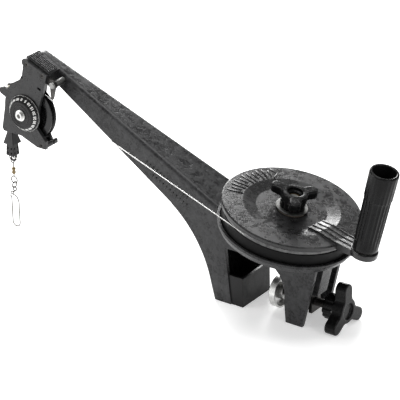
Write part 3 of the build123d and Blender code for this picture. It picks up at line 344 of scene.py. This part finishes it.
def creamy(name, colour, dark, gloss, fleck_mm):
    """A light plastic with mottling and small dark flecks."""
    finish = Finish(name, Subsurface_Weight=0.08, Subsurface_Radius=(0.002, 0.0016, 0.001))
    mottled = finish.noise(5, 4, 0.6)
    flecks = finish.noise(fleck_mm, 2, 0.5).above(0.62, 0.72)
    rounded = finish.soft_edges(0.3)
    finish.give({"Base_Color": finish.blend(mottled * 0.5 + flecks * 0.5, colour, dark),
                 "Roughness": gloss + (mottled - 0.5) * 0.2})
    finish.bump(mottled + flecks, 0.02, rounded)
    return finish.material


finishes["gear_nylon"] = creamy("natural_nylon", (0.74, 0.70, 0.60), (0.55, 0.50, 0.40), 0.42, 0.8)
finishes["brake_lining"] = creamy("pressed_fibre", (0.26, 0.22, 0.17), (0.10, 0.08, 0.06), 0.8, 0.5)

# %% [markdown]
# ## Metals
# Metal is mirror-like, so its look is all in roughness and fine relief. Turned parts carry rings from the
# lathe tool, zinc plate has a fine grey bloom, and brass dulls in patches where fingers and salt reach it.
# %% Metal finishes


def plated(name, colour, dull, gloss, grain_mm, grain_depth, edge_mm, lines=(1, 1, 1), blotch=0.5):
    """Bare or plated metal. lines squeezes the grain along an axis, to make brushing or turning marks."""
    finish = Finish(name, Metallic=1.0)
    bloom = finish.noise(6, 4, 0.65).above(0.35, 0.75)
    grain = finish.noise(grain_mm, 4, 0.65, 0.0, finish.stretched(*lines))
    pits = finish.noise(0.9, 2, 0.5).above(0.66, 0.74)
    rounded = finish.soft_edges(edge_mm)
    # Edges turn lighter and smoother: partly wear, partly a painted highlight on the edges.
    worn = finish.edge_wear_and_highlight(rounded)
    tone = bloom * blotch + grain * 0.3 + pits * 0.35 - worn * 0.4
    finish.give({"Base_Color": finish.blend(tone.most(0.0).least(1.0), colour, dull),
                 "Roughness": (gloss + (grain - 0.5) * 0.2 + bloom * 0.12 + pits * 0.15
                               - worn * 0.08).most(0.05)})
    finish.bump(grain - pits * 0.6, grain_depth, rounded)
    return finish.material


finishes["zinc_steel"] = plated("zinc_plate", (0.72, 0.72, 0.70), (0.42, 0.42, 0.42), 0.28, 0.5, 0.008, 0.25)
finishes["roller_steel"] = plated("turned_steel", (0.26, 0.26, 0.25), (0.10, 0.10, 0.10), 0.28, 0.4, 0.012,
                                  0.25, (1, 6, 1))
finishes["aged_zinc"] = plated("aged_zinc", (0.30, 0.30, 0.29), (0.10, 0.10, 0.10), 0.34, 0.5, 0.01, 0.25)
# The winding's wire is the line's stainless wire in a much darker colour: painted shade under the spool's flange.
finishes["wire_in_painted_shade"] = plated("wire_in_painted_shade", (0.22, 0.22, 0.22), (0.08, 0.08, 0.08), 0.42, 0.3, 0.02, 0.1)
finishes["turned_brass"] = plated("dull_brass", (0.26, 0.20, 0.11), (0.09, 0.065, 0.035), 0.30, 0.4, 0.008,
                                  0.2)
finishes["blackened_steel"] = plated("black_oxide", (0.035, 0.034, 0.033), (0.10, 0.095, 0.09), 0.33, 0.4,
                                     0.01, 0.25)
finishes["line_wire"] = plated("stainless_wire", (0.70, 0.70, 0.69), (0.36, 0.35, 0.34), 0.24, 0.3, 0.02, 0.1)
finishes["tackle_wire"] = plated("nickel_wire", (0.05, 0.044, 0.034), (0.02, 0.017, 0.012), 0.32, 0.5, 0.004,
                                 0.1)
print("finishes", len(finishes))

# %% [markdown]
# ## Finishes onto the CAD pieces
# Each CAD node names a material slot in the record. Its object keeps its mesh and place, and only its
# material slot changes.
# %% Assign


def clear_selection():
    """Nothing selected and no edit mode, so that the next operator acts on one thing only."""
    if bpy.context.object and bpy.context.object.mode != "OBJECT":
        bpy.ops.object.mode_set(mode="OBJECT")
    bpy.ops.object.select_all(action="DESELECT")


def only(piece):
    clear_selection()
    piece.select_set(True)
    bpy.context.view_layer.objects.active = piece
    return piece


# The spool's drum takes a darker copy of the spool's plastic as painted shade under its flange; the washer and
# roller pin take the darker zinc.
duller = {"spool_drum": "drum_plastic_painted_shade", "pressure_washer": "aged_zinc", "roller_pin": "aged_zinc"}
for node, piece in nodes.items():
    piece.data.materials.clear()
    piece.data.materials.append(finishes[duller.get(node, slot_of[node])])
clear_selection()

# %% [markdown]
# ## Working on the spool's slope
# The spool's axis leans, and the crank's grip leans with it. Pieces there are easier to model upright at
# the origin and to set down on the slope afterwards. The slope's place comes from the spool's joint, with
# the crank's direction as its x axis.
# %% Places


def axis_place(joint, towards):
    """A frame at a joint: z along its axis, x as near as can be to the direction towards."""
    up = Vector(joint["axis"]).normalized()
    side = up.cross(Vector(towards)).normalized()
    ahead = side.cross(up)
    place = Matrix((ahead, side, up)).transposed().to_4x4()
    place.translation = Vector(joint["pos_m"])
    return place


spool_at = Vector(joints["spool_spin"]["pos_m"])
grip_at = Vector(joints["grip_spin"]["pos_m"])
crank_way = grip_at - spool_at
SPOOL = axis_place(joints["spool_spin"], crank_way)
GRIP = axis_place(joints["grip_spin"], crank_way)
PULLEY_AT = Vector(joints["pulley_spin"]["pos_m"])
SCREW_AT = Vector(joints["clamp_turn"]["pos_m"])
CRANK = crank_way.length
print("crank throw in mm", round(CRANK / MM, 1))


def reach(node, place):
    """A node's lowest and highest corner, measured in the axes of place."""
    inside = place.inverted()
    points = [inside @ vertex.co for vertex in nodes[node].data.vertices]
    return (Vector([min(point[i] for point in points) for i in range(3)]),
            Vector([max(point[i] for point in points) for i in range(3)]))


def set_down(piece, place=None):
    """Moves a finished piece to its place and puts that place into its mesh."""
    only(piece)
    if place is not None:
        piece.matrix_world = place @ piece.matrix_world
    bpy.ops.object.transform_apply(location=True, rotation=True, scale=True)
    return piece


def hand_over(piece, name, slot, body, replaced=(), smooth=35):
    """Names a piece, gives it a finish, hangs it on the body it rides on, and hides the CAD nodes it replaces."""
    piece.name = name
    piece.data.name = name
    piece.data.materials.clear()
    piece.data.materials.append(finishes[slot])
    only(piece)
    bpy.ops.object.shade_smooth_by_angle(angle=math.radians(smooth))
    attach(piece, body)
    if replaced:
        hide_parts(*replaced)
    print(name, len(piece.data.polygons), "faces")
    return piece


def join(pieces):
    """Several objects as one, the first keeping its name."""
    clear_selection()
    for piece in pieces:
        piece.select_set(True)
    bpy.context.view_layer.objects.active = pieces[0]
    if len(pieces) > 1:
        bpy.ops.object.join()
    return bpy.context.object


# %% [markdown]
# ## Knobs and rubber with rounded, moulded edges
# A moulded knob has no sharp edge anywhere. Bevelling every edge of a lobed shape by hand is slow and
# leaves pinches where edges meet. Instead a copy of the plain solid is rebuilt from a fine grid of cells,
# then its points are relaxed, which rounds every edge at once, as wear and moulding do.
# %% Rounded copies
RELAX_SHARE = 0.5
WELD = 0.00001


def softened(node, cell_mm, rounds, name):
    """A rounded copy of a CAD node: rebuilt at cell_mm, then relaxed a number of times."""
    copy = bpy.data.objects.new(name, nodes[node].data.copy())
    bpy.context.scene.collection.objects.link(copy)
    only(copy)
    bpy.ops.object.mode_set(mode="EDIT")
    bpy.ops.mesh.select_all(action="SELECT")
    bpy.ops.mesh.remove_doubles(threshold=WELD)
    bpy.ops.object.mode_set(mode="OBJECT")
    remesh = copy.modifiers.new("cells", "REMESH")
    remesh.mode = "VOXEL"
    remesh.voxel_size = cell_mm * MM
    bpy.ops.object.modifier_apply(modifier="cells")
    relax = copy.modifiers.new("relax", "SMOOTH")
    relax.factor = RELAX_SHARE
    relax.iterations = rounds
    bpy.ops.object.modifier_apply(modifier="relax")
    return hand_over(copy, name, slot_of[node], body_of[node], [node], smooth=60)


softened("brake_knob", 0.55, 3, "brake_knob_moulded")
softened("clamp_knob", 0.6, 4, "clamp_knob_moulded")
softened("boot_cone", 0.35, 3, "boot_cone_moulded")
softened("boot_block", 0.35, 2, "boot_block_moulded")

# %% [markdown]
# ## The grip
# The grip is a hollow moulded tube: a plain collar above, then shallow flutes down to its foot so that a
# wet hand holds it. It starts as a ring of points, six to a flute, which is extruded upwards level by
# level and then down into the mouth. After that the points between two ribs are pushed in.
# %% Fluted grip
FLUTES = 22
POINTS_PER_FLUTE = 6
FLUTE_DEPTH = 0.75 * MM
COLLAR_SHARE = 0.66
MOUTH_DEPTH = 40 * MM
AXLE_BORE = 6.2 * MM
GRIP_LEVELS = 14


def grip_profile():
    """Pairs of radius and height up the outside, over the lip and down the mouth, in metres."""
    low, high = reach("grip", GRIP)
    foot, top = low.z, high.z
    shoulder = foot + COLLAR_SHARE * (top - foot)
    widest = high.y
    mouth = widest - 3.2 * MM
    narrow = widest - 2.1 * MM
    rows = [(narrow - 1.6 * MM, foot), (narrow - 0.5 * MM, foot + 0.15 * MM), (narrow, foot + 0.9 * MM)]
    for step in range(1, GRIP_LEVELS):
        share = step / GRIP_LEVELS
        rows.append((narrow + 0.9 * MM * share, foot + 0.9 * MM + (shoulder - foot - 2.4 * MM) * share))
    rows += [(narrow + 0.9 * MM, shoulder - 1.0 * MM), (narrow + 1.1 * MM, shoulder - 0.3 * MM),
             (narrow + 1.45 * MM, shoulder + 0.4 * MM), (narrow + 1.6 * MM, shoulder + 1.4 * MM),
             (widest, top - 2.2 * MM), (widest - 0.1 * MM, top - 0.9 * MM),
             (widest - 0.5 * MM, top - 0.25 * MM), (widest - 1.1 * MM, top),
             (mouth + 0.9 * MM, top), (mouth + 0.3 * MM, top - 0.25 * MM), (mouth, top - 1.0 * MM),
             (mouth - 0.3 * MM, top - MOUTH_DEPTH + 0.5 * MM), (mouth - 1.0 * MM, top - MOUTH_DEPTH),
             (AXLE_BORE, top - MOUTH_DEPTH), (AXLE_BORE, foot)]
    return rows, shoulder


def lathe_rows(rows, points):
    """A ring of points at the first row, extruded and sized to each next row."""
    first, height = rows[0]
    clear_selection()
    bpy.ops.mesh.primitive_circle_add(vertices=points, radius=first, location=(0, 0, height))
    piece = bpy.context.object
    bpy.ops.object.mode_set(mode="EDIT")
    bpy.ops.mesh.select_all(action="SELECT")
    for radius, next_height in rows[1:]:
        bpy.ops.mesh.extrude_region_move(TRANSFORM_OT_translate={"value": (0, 0, next_height - height)})
        size = radius / first
        bpy.ops.transform.resize(value=(size, size, 1), center_override=(0, 0, next_height))
        first, height = radius, next_height
    bpy.ops.mesh.select_all(action="SELECT")
    bpy.ops.object.mode_set(mode="OBJECT")
    return piece


def close_ring(piece, points):
    """Bridges the first and last ring of a lathed piece and turns its faces outwards."""
    only(piece)
    last = len(piece.data.vertices)
    ends = set(range(points)) | set(range(last - points, last))
    for vertex in piece.data.vertices:
        vertex.select = vertex.index in ends
    for edge in piece.data.edges:
        a, b = edge.vertices
        edge.select = (a < points and b < points) or (a >= last - points and b >= last - points)
    for face in piece.data.polygons:
        face.select = False
    bpy.ops.object.mode_set(mode="EDIT")
    bpy.ops.mesh.select_mode(type="EDGE")
    bpy.ops.mesh.bridge_edge_loops()
    bpy.ops.mesh.select_all(action="SELECT")
    bpy.ops.mesh.normals_make_consistent(inside=False)
    bpy.ops.mesh.select_mode(type="VERT")
    bpy.ops.object.mode_set(mode="OBJECT")
    return piece


def make_grip():
    """The lathed tube, its lower part fluted by pushing points in between the ribs."""
    rows, shoulder = grip_profile()
    points = FLUTES * POINTS_PER_FLUTE
    piece = close_ring(lathe_rows(rows, points), points)
    foot = rows[0][1]
    inner = rows[-5][0]
    for vertex in piece.data.vertices:
        across = math.hypot(vertex.co.x, vertex.co.y)
        rise = vertex.co.z - foot
        if across < inner + 0.5 * MM or vertex.co.z > shoulder - 0.8 * MM:
            continue
        wave = 0.5 - 0.5 * math.cos(math.atan2(vertex.co.y, vertex.co.x) * FLUTES)
        fade = min(1.0, rise / (1.5 * MM), (shoulder - 0.6 * MM - vertex.co.z) / (3 * MM))
        depth = FLUTE_DEPTH * max(0.0, fade) * wave ** 0.6
        vertex.co.x *= 1 - depth / across
        vertex.co.y *= 1 - depth / across
    set_down(piece, GRIP)
    return hand_over(piece, "grip_fluted", "knob_plastic", "grip", ["grip"], smooth=50)


make_grip()

# %% [markdown]
# ## The wire on the spool
# A long wire lies in the narrow groove. Only the outer turns show, so only they are modelled: one wire that
# runs round and round, crosses to the next lane near the end of each turn, turns back at the groove's side
# and lies in three layers. A small random sway stops it looking machined. A plain core below the turns
# closes the gaps between them.
# %% Wound wire
WIRE = 1.0 * MM
TURNS_PER_LAYER = 5
LAYERS = 3
STEPS_PER_TURN = 60
EDGE_GAP = 0.6
NESTING = 0.87
CROSSING = 0.85


def wound_path(inner, low, high):
    """Points of the winding, in the spool's axes."""
    chance = random.Random(7)
    lowest = low + WIRE * EDGE_GAP
    room = high - low - 2 * WIRE * EDGE_GAP
    lanes = [lowest + room * turn / (TURNS_PER_LAYER - 1) for turn in range(TURNS_PER_LAYER)]
    points = []
    for layer in range(LAYERS):
        order = lanes if layer % 2 == 0 else lanes[::-1]
        radius = inner + WIRE * NESTING * layer
        for turn, lane in enumerate(order):
            after = order[min(turn + 1, TURNS_PER_LAYER - 1)]
            wobble = chance.uniform(-0.12, 0.12) * WIRE
            for step in range(STEPS_PER_TURN):
                share = step / STEPS_PER_TURN
                shift = max(0.0, share - CROSSING) / (1 - CROSSING)
                angle = math.tau * share
                height = lane + (after - lane) * shift + wobble * math.sin(angle)
                points.append(Vector((radius * math.cos(angle), radius * math.sin(angle), height)))
    return points


def wire_along(points, thickness, name, sides):
    """A round wire through a list of points, as a mesh."""
    curve = bpy.data.curves.new(name, "CURVE")
    curve.dimensions = "3D"
    curve.bevel_depth = thickness / 2
    curve.bevel_resolution = sides
    curve.use_fill_caps = True
    spline = curve.splines.new("POLY")
    spline.points.add(len(points) - 1)
    for target, point in zip(spline.points, points):
        target.co = (*point, 1)
    wire = bpy.data.objects.new(name, curve)
    bpy.context.scene.collection.objects.link(wire)
    only(wire)
    bpy.ops.object.convert(target="MESH")
    return bpy.context.object


def make_winding():
    low, high = reach("wound_line", SPOOL)
    inner = high.y - WIRE * 0.5 - WIRE * NESTING * (LAYERS - 1) + 0.1 * MM
    wire = wire_along(wound_path(inner, low.z, high.z), WIRE, "wound_wire", sides=1)
    bpy.ops.mesh.primitive_cylinder_add(vertices=96, radius=inner - WIRE * 0.1, depth=high.z - low.z,
                                        location=(0, 0, (low.z + high.z) / 2))
    core = bpy.context.object
    whole = join([wire, core])
    set_down(whole, SPOOL)
    hand_over(whole, "wound_wire", "line_wire", "spool", ["wound_line"], smooth=60)
    # The winding takes the darker wire colour, which is painted shade under the flange.
    whole.data.materials[0] = finishes["wire_in_painted_shade"]


make_winding()

# %% [markdown]
# ## Threads
# A screw thread is one ridge that climbs by its pitch each turn. The Screw modifier makes it: a short
# outline of one tooth is turned round the axis and lifted at the same time.
# %% Threaded rod
PITCH = 25.4 / 16 * MM
THREAD_STEPS = 32


def threaded(radius, length, name):
    """A closed threaded rod along z from 0 to length."""
    depth = PITCH * 0.5
    outline = [(radius - depth, 0), (radius - depth, PITCH * 0.12), (radius - PITCH * 0.04, PITCH * 0.44),
               (radius - PITCH * 0.04, PITCH * 0.56), (radius - depth, PITCH * 0.88), (radius - depth, PITCH)]
    clear_selection()
    bpy.ops.mesh.primitive_plane_add(size=1)
    piece = bpy.context.object
    mesh = bpy.data.meshes.new(name)
    mesh.from_pydata([(x, 0, z) for x, z in outline], [(i, i + 1) for i in range(len(outline) - 1)], [])
    piece.data = mesh
    turns = int(length / PITCH) - 1
    screw = piece.modifiers.new("thread", "SCREW")
    screw.axis = "Z"
    screw.angle = math.tau
    screw.screw_offset = PITCH
    screw.iterations = turns
    screw.steps = THREAD_STEPS
    screw.render_steps = THREAD_STEPS
    screw.use_merge_vertices = True
    screw.merge_threshold = 0.000005
    only(piece)
    bpy.ops.object.modifier_apply(modifier="thread")
    core = lathe_rows([(0.0005, 0), (radius - depth - 0.25 * MM, 0), (radius - depth + 0.02 * MM, 0.4 * MM),
                       (radius - depth + 0.02 * MM, length - 0.6 * MM), (radius - depth - 0.5 * MM, length),
                       (0.0005, length)], THREAD_STEPS)
    return join([piece, core])


def make_clamp_screw():
    """The rod inside the CAD screw's outline: a smooth nose in the pad, then thread to the knob."""
    low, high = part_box("clamp_screw")
    radius = (high.z - low.z) / 2
    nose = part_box("clamp_pad")[1].x - low.x + 0.4 * MM
    rod = threaded(radius, high.x - low.x - nose, "clamp_screw_threaded")
    lead = lathe_rows([(0.0003, -nose), (3.1 * MM, -nose), (3.5 * MM, 0.4 * MM - nose), (3.5 * MM, 0.3 * MM),
                       (0.0003, 0.3 * MM)], 32)
    whole = join([rod, lead])
    place = Matrix.Rotation(math.pi / 2, 4, "Y")
    place.translation = Vector((low.x + nose, SCREW_AT.y, SCREW_AT.z))
    set_down(whole, place)
    return hand_over(whole, "clamp_screw_threaded", slot_of["clamp_screw"], "clamp_screw", ["clamp_screw"],
                     smooth=30)


make_clamp_screw()

# %% [markdown]
# ## Numerals and graduations on the dial
# The counter's dial is a black cone with white marks on its slope, so that a turn of the pulley can be
# read from above. Each numeral is a text object made into a mesh, laid on the slope and turned about the
# dial's axis, with a long tick at each numeral and short ticks between.
# %% Dial marks
NUMERALS = 20
NUMERAL_STEP = 5
NUMERAL_SIZE = 4.1 * MM
TICKS = 100
FRONT_SHARE = 15.2 / 21.5


def white_print():
    """Printed white: slightly worn, so that the black shows through in specks."""
    finish = Finish("white_print", Specular_IOR_Level=0.4)
    worn = finish.noise(0.7, 3, 0.6).above(0.60, 0.72)
    uneven = finish.noise(3, 3, 0.6)
    faded = worn * 0.5 + uneven * 0.1
    finish.give({"Base_Color": finish.blend(faded, (0.86, 0.86, 0.84), (0.20, 0.20, 0.20)),
                 "Roughness": 0.45 + uneven * 0.15})
    finish.bump(uneven, 0.01)
    return finish.material


print_white = white_print()


def dial_slope():
    """Large and small radius of the dial's cone and the two faces' y, from its CAD box."""
    low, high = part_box("dial")
    outer = (high.z - low.z) / 2
    return outer, outer * FRONT_SHARE, high.y - 1.0 * MM, low.y


def on_slope(share, angle):
    """A frame on the cone: x round the dial, y up the slope towards the centre, z out of the surface."""
    outer, inner, back, face = dial_slope()
    radius = outer + (inner - outer) * share
    along = back + (face - back) * share
    radial = Vector((math.sin(angle), 0, math.cos(angle)))
    slope = (radial * (inner - outer) + Vector((0, face - back, 0))).normalized()
    around = Vector((0, -1, 0)).cross(radial).normalized()
    normal = around.cross(slope).normalized()
    if normal.dot(radial) < 0:
        around, normal = -around, -normal
    place = Matrix((around, slope, normal)).transposed().to_4x4()
    place.translation = Vector((PULLEY_AT.x, 0, PULLEY_AT.z)) + radial * radius + Vector((0, along, 0))
    return place


def make_dial_marks():
    marks = []
    for number in range(NUMERALS):
        clear_selection()
        bpy.ops.object.text_add()
        text = bpy.context.object
        text.data.body = str(NUMERAL_STEP * number)
        text.data.align_x = "CENTER"
        text.data.align_y = "CENTER"
        text.data.size = NUMERAL_SIZE
        text.data.extrude = 0.06 * MM
        text.data.offset = 0.16 * MM
        text.data.space_character = 1.05
        bpy.ops.object.convert(target="MESH")
        marks.append(set_down(text, on_slope(0.56, math.tau * number / NUMERALS)))
    for tick in range(TICKS):
        long = tick % (TICKS // NUMERALS) == 0
        length = 1.2 * MM if long else 0.7 * MM
        clear_selection()
        bpy.ops.mesh.primitive_cube_add(size=1)
        mark = bpy.context.object
        mark.scale = (0.3 * MM, length, 0.12 * MM)
        mark.location = (0, length / 2, 0)
        bpy.ops.object.transform_apply(location=True, rotation=True, scale=True)
        marks.append(set_down(mark, on_slope(0.02, math.tau * tick / TICKS)))
    return finish_marks(join(marks), "dial_marks")


def finish_marks(whole, name):
    """Printed marks ride on the dial and take the white print."""
    whole.name = name
    whole.data.materials.clear()
    whole.data.materials.append(print_white)
    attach(whole, "dial")
    print(name, len(whole.data.polygons), "faces")


def make_dial_rings():
    """Low moulded steps round the dial's screw, as thin half-sunk rings."""
    _, inner, _, face = dial_slope()
    rings = []
    for radius, thick in ((inner - 1.2 * MM, 0.35 * MM), (inner * 0.72, 0.5 * MM)):
        clear_selection()
        bpy.ops.mesh.primitive_torus_add(major_radius=radius, minor_radius=thick,
                                         major_segments=96, minor_segments=10,
                                         location=(PULLEY_AT.x, face + 0.1 * MM, PULLEY_AT.z),
                                         rotation=(math.pi / 2, 0, 0))
        rings.append(set_down(bpy.context.object))
    return hand_over(join(rings), "dial_rings", "dial_plastic", "dial", smooth=60)


make_dial_marks()
make_dial_rings()

# %% [markdown]
# ## Raised marks on the spool's rim
# The flat rim of the spool carries raised moulding. Here it is a plain direction mark: a row of long and
# short bars that ends in an arrowhead.
# %% Direction marks
BARS = 11
BAR_STEP = math.radians(5.6)
BAR_START = math.radians(156)
RIM_RADIUS = 75 * MM
MARKS_INSET = 13.5 * MM
BAR_HEIGHT = 0.9 * MM
ARROW_LEAN = math.radians(38)


def raised_bar(width, length, height):
    """A bar with a bevelled top, lying along x with its base at 0."""
    clear_selection()
    bpy.ops.mesh.primitive_cube_add(size=1, location=(0, 0, 0))
    bar = bpy.context.object
    bar.scale = (length, width, height)
    bar.location = (0, 0, height / 2 - 0.2 * MM)
    bpy.ops.object.transform_apply(location=True, rotation=True, scale=True)
    bpy.ops.object.mode_set(mode="EDIT")
    bpy.ops.mesh.select_all(action="SELECT")
    bpy.ops.mesh.bevel(offset=height * 0.3, segments=2, affect="EDGES")
    bpy.ops.object.mode_set(mode="OBJECT")
    return bar


def make_direction_marks():
    middle = RIM_RADIUS - MARKS_INSET
    pieces = []
    for number in range(BARS):
        angle = BAR_START + BAR_STEP * number
        bar = raised_bar(1.5 * MM, (17 if number % 3 else 11) * MM, BAR_HEIGHT)
        turn = Matrix.Rotation(angle, 4, "Z") @ Matrix.Translation((middle, 0, 0))
        pieces.append(set_down(bar, turn))
    tip = BAR_START - BAR_STEP
    for side in (-1, 1):
        bar = raised_bar(1.6 * MM, 11 * MM, BAR_HEIGHT)
        lean = Matrix.Rotation(ARROW_LEAN * side, 4, "Z")
        turn = Matrix.Rotation(tip, 4, "Z") @ Matrix.Translation((middle + side * 4.0 * MM, 0, 0)) @ lean
        pieces.append(set_down(bar, turn))
    whole = join(pieces)
    set_down(whole, SPOOL)
    return hand_over(whole, "direction_marks", "spool_plastic", "spool", smooth=30)


make_direction_marks()

# %% [markdown]
# ## Raised ribs on the boom's side
# The boom's near side carries a patch of raised moulding near its root. Plain slanted ribs stand for it,
# in two rows that follow the boom. Each rib finds its own place: a ray is cast down to the boom's top edge,
# and a second ray, some way below that edge, is cast against its side.
# %% Ribs on the boom
RIBS = 13
RIB_FROM = -0.060
RIB_STEP = 0.0047
RIB_ROWS = ((0.0215, 7.0 * MM), (0.0300, 4.2 * MM))
RIB_LEAN = math.radians(68)


def side_place(x, below):
    """A frame on the boom's near side: x along the boom, z out of the surface."""
    boom = nodes["frame"]
    _, top, _, _ = boom.ray_cast(Vector((x, 0, 1)), Vector((0, 0, -1)))
    _, ahead, _, _ = boom.ray_cast(Vector((x + 0.01, 0, 1)), Vector((0, 0, -1)))
    _, spot, normal, _ = boom.ray_cast(Vector((x, -0.3, top.z - below)), Vector((0, 1, 0)))
    along = (ahead - top).normalized()
    along = (along - normal * along.dot(normal)).normalized()
    place = Matrix((along, normal.cross(along), normal)).transposed().to_4x4()
    place.translation = spot
    return place


def make_boom_ribs():
    ribs = []
    for row, (below, length) in enumerate(RIB_ROWS):
        for number in range(RIBS - 2 * row):
            rib = raised_bar(1.5 * MM, length, 1.2 * MM)
            lean = Matrix.Rotation(RIB_LEAN, 4, "Z")
            ribs.append(set_down(rib, side_place(RIB_FROM + RIB_STEP * (number + 2 * row), below) @ lean))
    return hand_over(join(ribs), "boom_ribs", "body_plastic", "frame", smooth=30)


make_boom_ribs()
